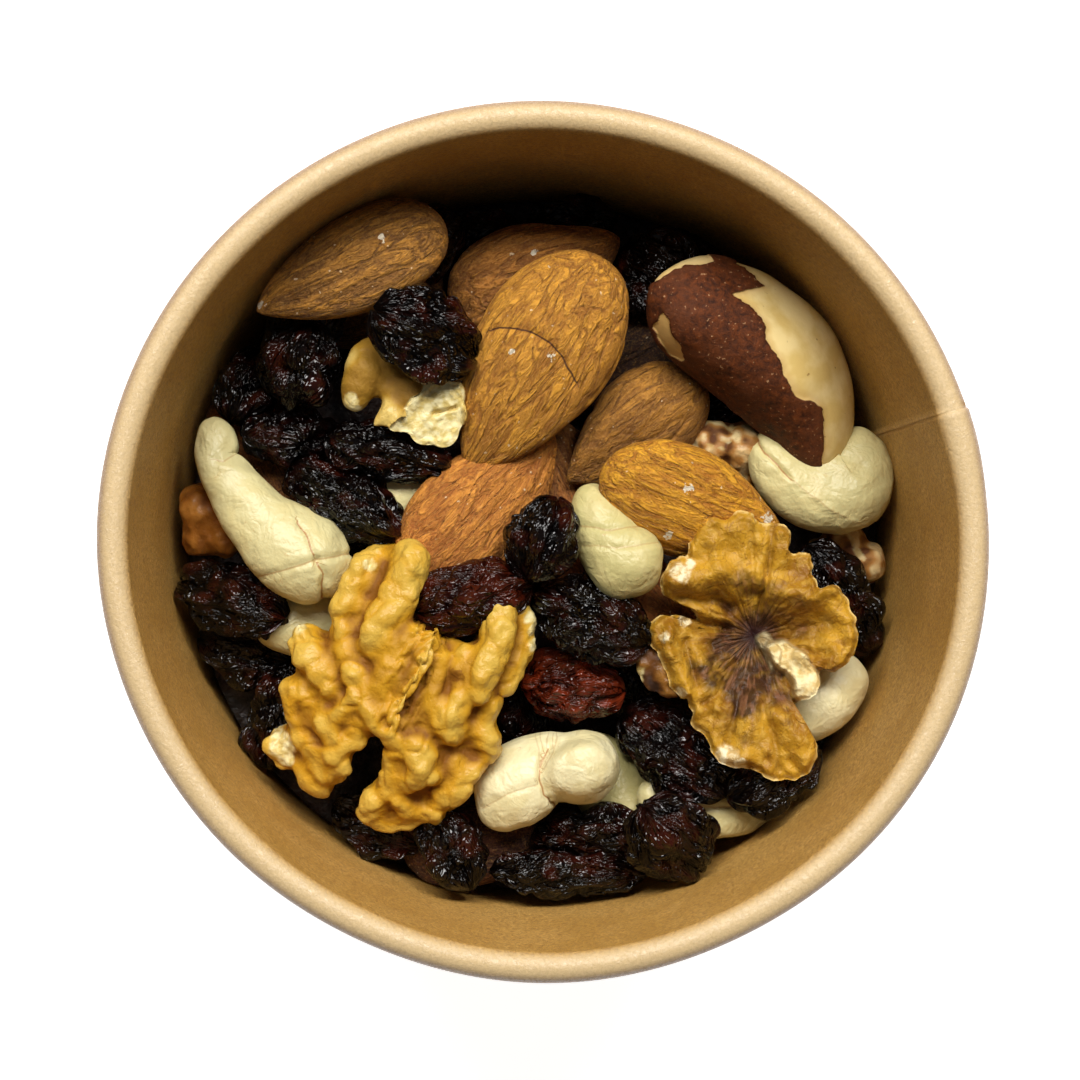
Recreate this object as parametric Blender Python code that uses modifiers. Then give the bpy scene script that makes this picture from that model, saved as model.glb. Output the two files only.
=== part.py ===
"""A kraft-paper bowl filled with trail mix: almonds, raisins, cashews, walnuts and a Brazil nut.

Metres, +Z up. The origin is the middle of the ring that the bowl stands on, +X is to the right and
+Y to the back. The heap is one solid: a core that fills the bowl, with the pieces fused onto it.
"""

import math

import bmesh
import bpy
import numpy as np

MM = 0.001

# The paper bowl, in metres
HEIGHT = 0.060
RIM_RADIUS = 0.045
BEAD = 0.0016  # radius of the rolled rim's section
FOOT_RADIUS = 0.0370
PAPER = 0.0005
FOOT_FOLD = 0.0012  # the three layers of paper at the foot
FLOOR_UNDER = 0.0060  # how far the floor is set up into the foot
BOWL_STEPS = 60

# The heap, in metres
CLEARANCE = 0.0004  # gap between the food and the paper
CORE_EDGE = 0.0280  # height of the core at the wall
CORE_MIDDLE = 0.0285  # height of the core at the axis
CORE_STEPS = 30

# How a piece comes to rest on those below it
CELL = 0.6  # of the height map, in millimetres
LEAN = 0.8  # share of the slope below that a piece takes up
STEEPEST = math.tan(math.radians(24))
CLEAR = 0.90  # share of a piece's underside that stays out of what it lies on
GIVING = {"raisin": 0.72, "walnut": 0.75, "petals": 0.80}  # less for what is soft or hollow below

# The colours and finishes of the pieces
KRAFT = (0.52, 0.33, 0.16)
MIXED_NUTS = (0.36, 0.19, 0.07)


def wall_outside(z):
    """Radius of the wall's outer face at height z."""
    top = RIM_RADIUS - 2 * BEAD + PAPER
    return FOOT_RADIUS + (top - FOOT_RADIUS) * z / (HEIGHT - BEAD)


def wall_inside(z):
    """Radius of the wall's inner face at height z."""
    return wall_outside(z) - PAPER


# The pieces, from the lowest to the highest: those that show, and three that hold up one at the wall.
# Each row is a kind, then in millimetres and degrees where its middle lies from the bowl's axis, how
# it is turned, its length, its width and its height.
LAYOUT = (
    ("raisin", -31.5, -11.5, -15, 11.0, 7.0, 6.0),
    ("raisin", -16.0, 0.5, -10, 11.0, 7.0, 6.0),
    ("raisin", -1.5, -19.0, 70, 11.0, 7.5, 6.0),
    ("raisin", 22.0, 15.0, 10, 10.0, 7.0, 6.0),
    ("raisin", -6.0, 33.0, 30, 9.5, 7.5, 6.0),
    ("raisin", 4.0, 35.5, 0, 9.5, 6.5, 6.0),
    ("raisin", 17.0, 32.5, -25, 10.0, 7.0, 6.0),
    ("raisin", 26.5, 26.0, -45, 10.0, 7.0, 6.0),
    ("almond", -29.5, 8.0, -60, 21.0, 11.5, 7.5),
    ("almond", 13.5, 21.5, 30, 21.0, 11.0, 7.5),
    ("almond", 3.0, 4.0, -70, 20.5, 11.0, 7.5),
    ("almond", 11.0, -7.0, -40, 22.0, 11.0, 7.0),
    ("cashew", -23.0, -7.5, 20, 16.5, 9.5, 7.5),
    ("cashew", -14.0, 5.0, 140, 14.0, 9.5, 7.5),
    ("raisin", 10.0, -15.5, -60, 10.0, 7.0, 6.0),
    ("raisin", 29.0, -22.0, 50, 10.0, 7.0, 6.0),
    ("almond", -5.5, -33.0, 10, 19.0, 10.5, 7.0),
    ("cashew", 9.0, -27.5, -60, 16.5, 10.0, 7.5),
    ("cashew", 20.0, -29.0, 17, 19.0, 8.0, 5.5),
    ("raisin", 13.0, 29.0, -30, 10.5, 9.0, 7.0),
    ("crumb", 20.5, 9.5, -20, 9.5, 7.5, 7.0),
    ("crumb", 35.5, -2.0, -60, 8.5, 8.0, 7.0),
    ("crumb", -35.5, 2.5, 70, 9.0, 8.5, 6.5),
    ("raisin", -31.5, 17.0, 70, 9.0, 7.0, 6.0),
    ("almond", -20.5, 27.5, 195, 20.0, 11.0, 8.0),
    ("raisin", -25.5, 26.5, 50, 12.0, 8.0, 7.0),
    ("raisin", -14.0, 33.5, 30, 12.0, 8.0, 7.0),
    ("almond", -20.5, 31.5, 207, 22.5, 11.0, 7.5),
    ("raisin", -25.5, 19.0, 80, 9.5, 9.0, 7.5),
    ("raisin", -26.5, 11.5, 0, 11.0, 6.0, 6.0),
    ("raisin", -20.5, 4.5, -27, 14.5, 6.5, 6.5),
    ("almond", 0.5, 29.0, 25, 21.5, 12.0, 8.5),
    ("almond", -6.0, 3.5, 45, 22.5, 13.5, 8.0),
    ("raisin", -16.0, 9.5, -14, 13.5, 6.0, 6.0),
    ("almond", 11.0, 13.0, 37, 19.5, 11.0, 7.5),
    ("cashew", 31.5, 7.0, 160, 16.5, 12.0, 8.5),
    ("cashew", 8.5, 0.5, 115, 16.0, 11.0, 8.5),
    ("raisin", 35.0, -6.5, -62, 14.0, 7.5, 6.5),
    ("cashew", 32.0, -17.0, 230, 16.0, 10.5, 8.0),
    ("raisin", 15.0, -22.5, -42, 14.5, 9.5, 7.0),
    ("raisin", 27.0, -26.5, 25, 11.5, 7.0, 6.5),
    ("raisin", 16.0, -32.0, -52, 10.5, 9.0, 7.0),
    ("raisin", 6.0, -31.5, 5, 13.0, 5.5, 6.0),
    ("raisin", 3.5, -36.5, 0, 17.0, 5.5, 6.0),
    ("raisin", -17.5, -31.0, -22, 11.5, 6.5, 6.5),
    ("raisin", -9.5, -33.0, -65, 9.5, 6.0, 6.5),
    ("raisin", -28.0, -18.5, 80, 12.5, 6.5, 6.5),
    ("raisin", -33.0, -6.0, -22, 13.0, 8.0, 7.0),
    ("raisin", -7.0, -6.0, 10, 12.5, 8.0, 7.0),
    ("raisin", 5.5, -8.0, -22, 13.5, 8.5, 7.0),
    ("elbow", -14.5, 15.5, 35, 14.0, 11.0, 7.5),
    ("raisin", -12.0, 23.0, -27, 12.5, 9.0, 7.0),
    ("raisin", 0.0, 0.5, 70, 9.0, 7.0, 6.5),
    ("raisin", 3.5, -15.5, 0, 11.0, 7.5, 7.0),
    ("almond", 16.5, 5.5, -27, 22.5, 11.5, 7.5),
    ("almond", 1.5, 20.5, 237, 25.0, 14.5, 8.5),
    ("brazil", 23.5, 19.5, -45, 27.5, 13.5, 11.5),
    ("cashew", -28.5, 2.5, 132, 25.5, 11.5, 9.0),
    ("cashew", 0.5, -25.5, 25, 19.5, 12.0, 9.0),
    ("walnut", -15.0, -15.5, 0, 29.0, 29.0, 12.5),
    ("petals", 23.0, -11.0, 0, 25.0, 28.0, 8.0),
)

# The lobes of the walnut half that lies crown up. Each row gives in millimetres and degrees where the
# lobe's middle lies from the walnut's, how it is turned, its length, its width, and how high it
# stands above the walnut's middle. All of them reach down to the walnut's underside.
WALNUT_LOBES = (
    (0.0, 0.0, 0, 22.0, 20.0, 2.0),
    (0.0, 9.5, 68, 11.5, 6.5, 5.0),
    (-5.0, 9.5, 62, 10.5, 6.0, 3.5),
    (-9.5, 4.5, 110, 10.0, 7.0, 2.5),
    (-11.5, -6.0, 80, 6.5, 5.0, 1.0),
    (-7.5, -8.0, 60, 12.0, 10.0, 2.5),
    (-4.5, 3.0, 50, 10.0, 8.0, 5.0),
    (-3.5, -2.5, 20, 10.0, 8.0, 4.0),
    (2.0, 1.5, 65, 14.0, 7.0, 6.0),
    (6.0, -3.5, 80, 11.0, 8.0, 4.0),
    (10.0, 5.0, 75, 11.0, 6.5, 4.5),
    (12.0, 3.5, 78, 9.0, 4.0, 1.5),
    (4.5, -8.0, 75, 10.0, 7.0, 4.0),
    (8.5, -7.5, 60, 10.0, 7.0, 2.5),
    (-1.5, -12.0, 15, 9.0, 6.0, 2.5),
    (4.0, -12.0, -20, 9.0, 6.5, 2.5),
)
# The same for the walnut half that lies crown down, open side up.
WALNUT_PETALS = (
    (0.0, 0.0, 0, 17.0, 17.0, 1.5),
    (-1.5, 8.0, 100, 14.0, 14.0, 3.0),
    (4.5, 7.0, 60, 14.0, 11.0, 2.5),
    (7.0, 2.5, 15, 13.0, 11.0, 2.0),
    (-6.0, 6.0, 140, 11.0, 7.0, 3.0),
    (-7.5, -0.5, 175, 11.0, 8.0, 3.0),
    (-1.5, -7.0, 70, 13.0, 11.0, 2.5),
    (3.5, -9.5, -50, 12.5, 9.0, 2.5),
    (5.5, -2.5, -50, 6.5, 4.5, 4.0),
)
CRUMB_LOBES = (
    (-1.8, 1.0, 20, 5.5, 5.0, 2.5),
    (1.2, 1.7, 75, 5.5, 4.5, 3.0),
    (1.8, -1.2, 100, 6.0, 4.5, 2.0),
    (-1.0, -1.7, 10, 5.5, 4.5, 2.5),
)
ELBOW_LOBES = (
    (-4.0, 0.5, 60, 9.5, 5.5, 3.5),
    (0.0, 1.5, -5, 9.0, 4.5, 3.0),
    (4.0, -1.0, 75, 8.0, 6.5, 4.0),
)
LOBES = {
    "walnut": WALNUT_LOBES,
    "petals": WALNUT_PETALS,
    "crumb": CRUMB_LOBES,
    "elbow": ELBOW_LOBES,
}


def clear_scene():
    for obj in list(bpy.data.objects):
        bpy.data.objects.remove(obj, do_unlink=True)


def new_collection(name):
    collection = bpy.data.collections.new(name)
    bpy.context.scene.collection.children.link(collection)
    return collection


def finish_material(name, colour, roughness):
    material = bpy.data.materials.new(name)
    material.use_nodes = True
    shader = material.node_tree.nodes["Principled BSDF"]
    shader.inputs["Base Color"].default_value = (*colour, 1.0)
    shader.inputs["Roughness"].default_value = roughness
    shader.inputs["Metallic"].default_value = 0.0
    return material


def turned(name, profile, steps, collection):
    """A solid turned round Z from (radius, height) points that run down its outer side."""
    mesh = bpy.data.meshes.new(name)
    edges = [(i, i + 1) for i in range(len(profile) - 1)]
    mesh.from_pydata([(r, 0.0, z) for r, z in profile], edges, [])
    obj = bpy.data.objects.new(name, mesh)
    collection.objects.link(obj)
    screw = obj.modifiers.new("Turn", "SCREW")
    screw.steps = steps
    screw.render_steps = steps
    screw.use_merge_vertices = True
    screw.merge_threshold = 0.00001
    screw.use_smooth_shade = True
    return obj


def arc(middle, radius, start, end, count):
    """Points on an arc from start to end degrees, in the (radius, height) plane."""
    r, z = middle
    angles = (math.radians(start + (end - start) * i / count) for i in range(count + 1))
    return [(r + radius * math.cos(a), z + radius * math.sin(a)) for a in angles]


def make_bowl(collection):
    """The bowl: a conical wall with a rolled rim, a folded foot and a floor set up inside it."""
    floor_top = FLOOR_UNDER + PAPER
    bead_middle = (RIM_RADIUS - BEAD, HEIGHT - BEAD)
    foot_inside = FOOT_RADIUS - FOOT_FOLD
    profile = [(0.0, floor_top), (wall_inside(floor_top), floor_top)]
    profile += arc(bead_middle, BEAD, 180, -135, 7)
    profile += [
        (wall_outside(HEIGHT - 2 * BEAD), HEIGHT - 2 * BEAD),
        (FOOT_RADIUS, 0.0),
        (foot_inside, 0.0),
        (foot_inside + 0.0002, FLOOR_UNDER),
        (0.0, FLOOR_UNDER),
    ]
    bowl = turned("paper_bowl", profile, BOWL_STEPS, collection)
    bowl.data.materials.append(finish_material("kraft paper", KRAFT, 0.7))
    return bowl


def make_core(collection):
    """The heap below what shows: it fills the lower half of the bowl up to a low dome."""
    bottom = FLOOR_UNDER + PAPER + CLEARANCE
    profile = [
        (0.0, CORE_MIDDLE),
        (0.6 * FOOT_RADIUS, 0.6 * CORE_MIDDLE + 0.4 * CORE_EDGE),
        (wall_inside(CORE_EDGE) - CLEARANCE, CORE_EDGE),
        (wall_inside(bottom) - CLEARANCE, bottom),
        (0.0, bottom),
    ]
    core = turned("trail_mix", profile, CORE_STEPS, collection)
    core.data.materials.append(finish_material("nuts and raisins", MIXED_NUTS, 0.6))
    return core


def ball(segments, rings):
    """Points of a unit ball with its poles on X: the rings from +X to -X, then the two poles."""
    tilt, about = np.meshgrid(
        math.pi * np.arange(1, rings) / rings,
        2 * math.pi * np.arange(segments) / segments,
        indexing="ij",
    )
    ring = np.sin(tilt)
    points = np.stack([np.cos(tilt), ring * np.cos(about), ring * np.sin(about)], axis=-1)
    return np.concatenate([points.reshape(-1, 3), [[1.0, 0.0, 0.0], [-1.0, 0.0, 0.0]]])


def ball_faces(segments, rings):
    """The faces between the points of that ball, facing out."""
    last = segments * (rings - 2)
    near, far = segments * (rings - 1), segments * (rings - 1) + 1
    faces = []
    for a in range(segments):
        b = (a + 1) % segments
        faces.append((near, a, b))
        faces.append((far, last + b, last + a))
        for start in range(0, last, segments):
            lower = start + segments
            faces.append((start + a, lower + a, lower + b, start + b))
    return faces


def almond_form(p, size, seed):
    """Flat, blunt at -X and drawn to a point at +X."""
    x, y, z = p.T
    taper = (1.0 - 0.2 * x) * (1.0 - np.clip(x, 0.0, 1.0)) ** 0.16
    return np.stack([x, y * taper, z * taper], axis=1) * size


def raisin_form(p, size, seed):
    """A long ball with lengthwise folds, no two alike."""
    x, y, z = p.T
    about = np.arctan2(z, y)
    fold = 1.0 + 0.08 * np.sin(3 * about + seed) + 0.06 * np.sin(5 * about + 4 * x + 2 * seed)
    return np.stack([x, y * fold, z * fold], axis=1) * size


def bent(p, size, girth):
    """A rod bent so that its back is towards +Y. The girth is its own share of the whole width."""
    half = girth * size[1]
    sweep = 2 * math.atan(2 * (size[1] - half) / size[0])
    radius = size[0] / math.sin(sweep)
    reach = radius + p[:, 1] * half
    along = reach * np.sin(sweep * p[:, 0])
    across = reach * np.cos(sweep * p[:, 0]) - radius * (1 + math.cos(sweep)) / 2
    return np.stack([along, across, p[:, 2] * size[2]], axis=1)


def cashew_form(p, size, seed):
    """A kidney, thicker at -X than at +X."""
    x, y, z = p.T
    return bent(np.stack([x, y * (1.0 - 0.28 * x), z * (1.0 - 0.2 * x)], axis=1), size, 0.68)


def brazil_form(p, size, seed):
    """A long segment with three blunt edges and blunt ends, its rounded back towards +Y."""
    x, y, z = p.T
    edge = 1.0 + 0.08 * np.cos(3 * (np.arctan2(z, y) + 0.5))
    full = edge * (1.0 - 0.12 * x) * np.clip(1.0 - x**2, 1e-6, 1.0) ** -0.15
    return bent(np.stack([x, y * full, z * full], axis=1), size, 0.86)


# The form of each kind, and how many sides and rings its mesh has
FORMS = {
    "almond": (almond_form, 9, 6),
    "raisin": (raisin_form, 7, 6),
    "cashew": (cashew_form, 7, 7),
    "brazil": (brazil_form, 10, 9),
}


def shells(kind, size, seed, unit):
    """The points of the unit ball pushed into the piece's form, or into each of its lobes."""
    if kind in FORMS:
        return [FORMS[kind][0](unit, size, seed)]
    found = []
    for x, y, turn, length, width, top in LOBES[kind]:
        c, s = math.cos(math.radians(turn)), math.sin(math.radians(turn))
        along, across = unit[:, 0] * length / 2, unit[:, 1] * width / 2
        up = (top - size[2]) / 2 + unit[:, 2] * (top + size[2]) / 2
        found.append(np.stack([x + along * c - across * s, y + along * s + across * c, up], axis=1))
    return found


def axes_of(turn, slope):
    """The directions of a piece's own X, Y and Z once it is turned and leans on the two slopes."""
    up = np.array([-slope[0], -slope[1], 1.0])
    up /= np.linalg.norm(up)
    heading = np.array([math.cos(math.radians(turn)), math.sin(math.radians(turn)), 0.0])
    side = np.cross(up, heading)
    side /= np.linalg.norm(side)
    return np.stack([np.cross(side, up), side, up])


class Heap:
    """The height, in millimetres, of whatever lies highest over each cell of a square grid."""

    def __init__(self):
        self.edge = RIM_RADIUS / MM
        self.count = int(2 * self.edge / CELL) + 1
        middles = (np.arange(self.count) + 0.5) * CELL - self.edge
        xs, ys = np.meshgrid(middles, middles, indexing="ij")
        self.xs, self.ys = xs.ravel(), ys.ravel()
        fall = (CORE_MIDDLE - CORE_EDGE) / MM / (wall_inside(CORE_EDGE) / MM) ** 2
        self.top = CORE_MIDDLE / MM - fall * (self.xs**2 + self.ys**2)

    def under(self, points):
        """The cells that the points cover, with the lowest and the highest point over each."""
        i, j = ((points[:, :2] + self.edge) / CELL).astype(int).T
        low = np.full(self.count**2, np.inf)
        high = np.full(self.count**2, -np.inf)
        np.minimum.at(low, i * self.count + j, points[:, 2])
        np.maximum.at(high, i * self.count + j, points[:, 2])
        cells = np.flatnonzero(np.isfinite(low))
        return cells, low[cells], high[cells]

    def slope(self, points):
        """Most of the slope of what lies under the points, and no more than the steepest."""
        cells = self.under(points)[0]
        grid = np.stack([self.xs[cells], self.ys[cells], np.ones(len(cells))], axis=1)
        slope = np.linalg.lstsq(grid, self.top[cells], rcond=None)[0][:2] * LEAN
        return slope * min(1.0, STEEPEST / max(np.hypot(*slope), 1e-9))

    def rest(self, points, share):
        """How far the points go up for that share of their underside to be clear of the heap."""
        cells, low, high = self.under(points)
        return np.quantile(self.top[cells] - low, share)

    def cover(self, points):
        """Counts the points as part of the heap."""
        cells, low, high = self.under(points)
        self.top[cells] = np.maximum(self.top[cells], high)


def stacked():
    """Where each piece of the layout comes to rest: its middle and its axes, lowest piece first.

    A piece leans as what is under it slopes, comes down until only a small share of its underside
    would be in what it lies on, and moves towards the axis until it is clear of the wall.
    """
    heap = Heap()
    smooth = {True: ball(96, 72), False: ball(32, 24)}
    placed = []
    for seed, (kind, x, y, turn, *sizes) in enumerate(LAYOUT):
        own = np.concatenate(shells(kind, np.array(sizes) / 2, seed, smooth[kind in FORMS]))
        middle = np.array([x, y, 0.0])
        for _ in range(8):
            axes = axes_of(turn, heap.slope(own @ axes_of(turn, (0.0, 0.0)) + middle))
            middle[2] = 0.0
            middle[2] = heap.rest(own @ axes + middle, GIVING.get(kind, CLEAR))
            points = own @ axes + middle
            limit = (wall_inside(points[:, 2] * MM) - CLEARANCE) / MM
            excess = (np.hypot(points[:, 0], points[:, 1]) - limit).max()
            if excess <= 0:
                break
            middle[:2] *= 1 - (excess + 0.1) / math.hypot(middle[0], middle[1])
        heap.cover(points)
        placed.append((middle, axes))
    return placed


def add_piece(seed, middle, axes, collection):
    """One piece as its shells, a little full, so that their flat sides lie both in and out of it."""
    kind, sizes = LAYOUT[seed][0], LAYOUT[seed][4:]
    segments, rings = FORMS[kind][1:] if kind in FORMS else (6, 4)
    full = (1 + 1 / math.cos(math.pi / segments)) / 2
    unit = ball(segments, rings) * (1.0, full, full)
    for number, points in enumerate(shells(kind, np.array(sizes) / 2, seed, unit)):
        mesh = bpy.data.meshes.new(f"{kind}_{seed}_{number}")
        points = (points @ axes + middle) * MM
        mesh.from_pydata(points.tolist(), [], ball_faces(segments, rings))
        collection.objects.link(bpy.data.objects.new(mesh.name, mesh))


def outer_skin(bm):
    """Keeps the largest closed skin: hollows that fusing seals are filled, loose scraps dropped."""
    unseen = set(bm.faces)
    skins = []
    while unseen:
        skin, front = [], [unseen.pop()]
        while front:
            face = front.pop()
            skin.append(face)
            for edge in face.edges:
                for other in edge.link_faces:
                    if other in unseen:
                        unseen.remove(other)
                        front.append(other)
        skins.append(skin)
    skins.sort(key=lambda skin: sum(face.calc_area() for face in skin))
    scraps = [face for skin in skins[:-1] for face in skin]
    bmesh.ops.delete(bm, geom=scraps, context="FACES")
    loose = [vert for vert in bm.verts if not vert.link_faces]
    bmesh.ops.delete(bm, geom=loose, context="VERTS")


def fuse(core, pieces):
    """Joins the pieces to the core with one Boolean union, and applies it."""
    union = core.modifiers.new("Fuse", "BOOLEAN")
    union.operation = "UNION"
    union.operand_type = "COLLECTION"
    union.collection = pieces
    union.solver = "EXACT"
    graph = bpy.context.evaluated_depsgraph_get()
    fused = bpy.data.meshes.new_from_object(core.evaluated_get(graph))
    core.modifiers.clear()
    core.data = fused
    for obj in list(pieces.objects):
        bpy.data.objects.remove(obj, do_unlink=True)
    bpy.data.collections.remove(pieces)
    bm = bmesh.new()
    bm.from_mesh(fused)
    outer_skin(bm)
    bmesh.ops.triangulate(bm, faces=bm.faces)
    bm.to_mesh(fused)
    bm.free()


def main():
    clear_scene()
    parts = new_collection("bowl of trail mix")
    pieces = new_collection("pieces")
    make_bowl(parts)
    core = make_core(parts)
    for seed, (middle, axes) in enumerate(stacked()):
        add_piece(seed, middle, axes, pieces)
    fuse(core, pieces)


main()
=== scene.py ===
"""A kraft-paper bowl of trail mix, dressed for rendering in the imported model's own frame."""

import math

import bpy
import numpy as np
from mathutils import Matrix


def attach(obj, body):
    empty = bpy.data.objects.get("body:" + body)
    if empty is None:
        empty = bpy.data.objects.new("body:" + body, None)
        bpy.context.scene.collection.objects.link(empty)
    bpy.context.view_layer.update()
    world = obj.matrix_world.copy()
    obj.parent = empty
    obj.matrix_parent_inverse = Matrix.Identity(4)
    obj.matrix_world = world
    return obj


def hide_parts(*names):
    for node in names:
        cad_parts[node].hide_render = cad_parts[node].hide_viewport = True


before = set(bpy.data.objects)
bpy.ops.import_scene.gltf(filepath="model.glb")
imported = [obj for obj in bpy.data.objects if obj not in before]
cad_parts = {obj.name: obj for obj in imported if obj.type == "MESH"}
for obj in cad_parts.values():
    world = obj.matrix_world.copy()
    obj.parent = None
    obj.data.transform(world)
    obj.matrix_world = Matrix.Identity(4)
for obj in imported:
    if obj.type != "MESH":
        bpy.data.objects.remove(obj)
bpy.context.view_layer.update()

# The camera looks down on the bowl from almost straight above, as the photograph was taken. One wide
# soft light hangs above and behind the bowl, and the room adds little to it.
MM = 0.001
EYE = (-0.0135, -0.0054, 0.390)
AIM = (0.0, 0.0, 0.060)
PHOTO_SIDE = 1080
OFF_MIDDLE = (-6.5, 0.5)  # the lens's shift, in the photograph's pixels
LIGHT_PLACE = (0.0, 0.40, 0.70)
LIGHT_AIM = (0.0, 0.0, 0.04)


def looking(origin, target, up):
    """The matrix that puts an object at origin with its -Z towards target and its Y towards up."""
    back = np.subtract(origin, target).astype(float)
    back /= np.linalg.norm(back)
    right = np.cross(up, back)
    right /= np.linalg.norm(right)
    turned = np.eye(4)
    turned[:3, :3] = np.stack([right, np.cross(back, right), back], axis=1)
    turned[:3, 3] = origin
    return turned


def stand(name, data, matrix):
    """A new object, linked to the scene and put where the matrix says."""
    made = bpy.data.objects.new(name, data)
    bpy.context.scene.collection.objects.link(made)
    made.matrix_world = Matrix(np.asarray(matrix).tolist())
    return made


lens = bpy.data.cameras.new("camera")
lens.sensor_width = 36.0
lens.lens = 109.0
lens.shift_x = OFF_MIDDLE[0] / PHOTO_SIDE
lens.shift_y = OFF_MIDDLE[1] / PHOTO_SIDE
lens.clip_start = 0.01
bpy.context.scene.camera = stand("camera", lens, looking(EYE, AIM, (0.0, 1.0, 0.0)))

soft_box = bpy.data.lights.new("soft_box", "AREA")
soft_box.shape = "RECTANGLE"
soft_box.size = 0.80
soft_box.size_y = 0.22
soft_box.energy = 10.5
soft_box.color = (1.0, 0.985, 0.96)
stand("soft_box", soft_box, looking(LIGHT_PLACE, LIGHT_AIM, (0.0, 0.0, 1.0)))

room = bpy.data.worlds.new("room")
room.use_nodes = True
room.node_tree.nodes["Background"].inputs["Color"].default_value = (1.0, 1.0, 1.0, 1.0)
room.node_tree.nodes["Background"].inputs["Strength"].default_value = 0.10
bpy.context.scene.world = room
bpy.context.scene.view_settings.view_transform = "Standard"


# The floor and the screen behind it are plain white card. Neither is part of the object. The screen
# is seen by the camera alone, so that it lights nothing.
FLOOR_HALF = 2.0
SCREEN_RADIUS = 1.99
SCREEN_SIDES = 48
SCREEN_HEIGHTS = (-0.01, 3.0)


def shader_node(tree, kind, links=None, **settings):
    """A new shader node. Each of its links is a value, or another node's output."""
    made = tree.nodes.new(kind)
    for name, value in settings.items():
        setattr(made, name, value)
    for name, value in (links or {}).items():
        if isinstance(value, bpy.types.NodeSocket):
            tree.links.new(value, made.inputs[name])
        else:
            made.inputs[name].default_value = value
    return made


def new_material(name):
    """A material, its node tree and its Principled shader."""
    material = bpy.data.materials.new(name)
    material.use_nodes = True
    return material, material.node_tree, material.node_tree.nodes["Principled BSDF"]


card, _, card_shader = new_material("white card")
card_shader.inputs["Base Color"].default_value = (0.8, 0.8, 0.8, 1.0)
card_shader.inputs["Roughness"].default_value = 0.9
card_shader.inputs["Emission Color"].default_value = (1.0, 1.0, 1.0, 1.0)
card_shader.inputs["Emission Strength"].default_value = 0.90
floor_mesh = bpy.data.meshes.new("floor")
floor_corners = [(FLOOR_HALF * x, FLOOR_HALF * y, 0) for x, y in ((-1, -1), (1, -1), (1, 1), (-1, 1))]
floor_mesh.from_pydata(floor_corners, [], [(0, 1, 2, 3)])
floor_mesh.materials.append(card)
floor = stand("floor", floor_mesh, np.eye(4))

screen_turns = np.linspace(0.0, 2 * math.pi, SCREEN_SIDES + 1)[:-1]
screen_points = [
    (SCREEN_RADIUS * math.cos(a), SCREEN_RADIUS * math.sin(a), z)
    for z in SCREEN_HEIGHTS for a in screen_turns
]
screen_faces = [
    (i, (i + 1) % SCREEN_SIDES, SCREEN_SIDES + (i + 1) % SCREEN_SIDES, SCREEN_SIDES + i)
    for i in range(SCREEN_SIDES)
]
screen_mesh = bpy.data.meshes.new("screen")
screen_mesh.from_pydata(screen_points, [], screen_faces)
screen_mesh.materials.append(card)
screen = stand("screen", screen_mesh, np.eye(4))
screen.visible_diffuse = False
screen.visible_glossy = False
screen.visible_shadow = False


# The bowl is kraft paper in three parts: a cone wrapped once round and glued over itself at the side
# seam, its top edge rolled outwards into a bead, and a floor pressed up into the foot, where the
# wall is folded in over the floor's edge. It is a little out of round.
BOWL_HEIGHT = 60.0
RIM_RADIUS = 45.0
BEAD = 1.6
FOOT_RADIUS = 37.0
PAPER = 0.5
FOOT_FOLD = 1.2
FLOOR_UNDER = 6.0
SEAM = 17.7  # where the wall's outer end lies bare, in degrees from +X
OVERLAP = 13.5
PLY = 0.25
OUT_OF_ROUND = 0.0074
LONG_WAY = -14.4  # the direction in which it is widest, in degrees from +X
FLOOR_ROWS = 12  # points of the profile across the floor's upper side
FOOT_ROWS = 9  # and round the foot's fold


def paint(red, green, blue):
    """A colour as a screen shows it, 0 to 255, as the linear values that a shader takes."""
    shown = np.array([red, green, blue]) / 255.0
    linear = np.where(shown <= 0.04045, shown / 12.92, ((shown + 0.055) / 1.055) ** 2.4)
    return (*linear.tolist(), 1.0)


def wall_inside(z):
    """Radius of the wall's inner face at height z, in millimetres."""
    top = RIM_RADIUS - 2 * BEAD + PAPER
    return FOOT_RADIUS + (top - FOOT_RADIUS) * z / (BOWL_HEIGHT - BEAD) - PAPER


def ease(value, start, end):
    """0 before start, 1 after end, and an S-curve between them."""
    part = np.clip((value - start) / (end - start), 0.0, 1.0)
    return part * part * (3.0 - 2.0 * part)


def noise(places, seed=0):
    """Smooth random values from -1 to 1: a number worked out from each corner of the unit cell round
    a place, blended by S-curves of how far along the cell the place is."""
    base = np.floor(places).astype(np.int64)
    part = places - base
    part = part * part * (3.0 - 2.0 * part)
    total = np.zeros(len(places))
    for corner in np.ndindex(2, 2, 2):
        code = (base + corner) @ np.array([73856093, 19349663, 83492791]) + seed * 2654435
        code = (code ^ (code >> 13)) * 1274126177 & 0xFFFFFFFF
        code = (code ^ (code >> 15)) * 461845907 & 0xFFFFFFFF
        weight = np.prod(np.where(corner, part, 1.0 - part), axis=1)
        total += weight * ((code >> 8 & 0xFFFF) / 32767.5 - 1.0)
    return total


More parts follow.
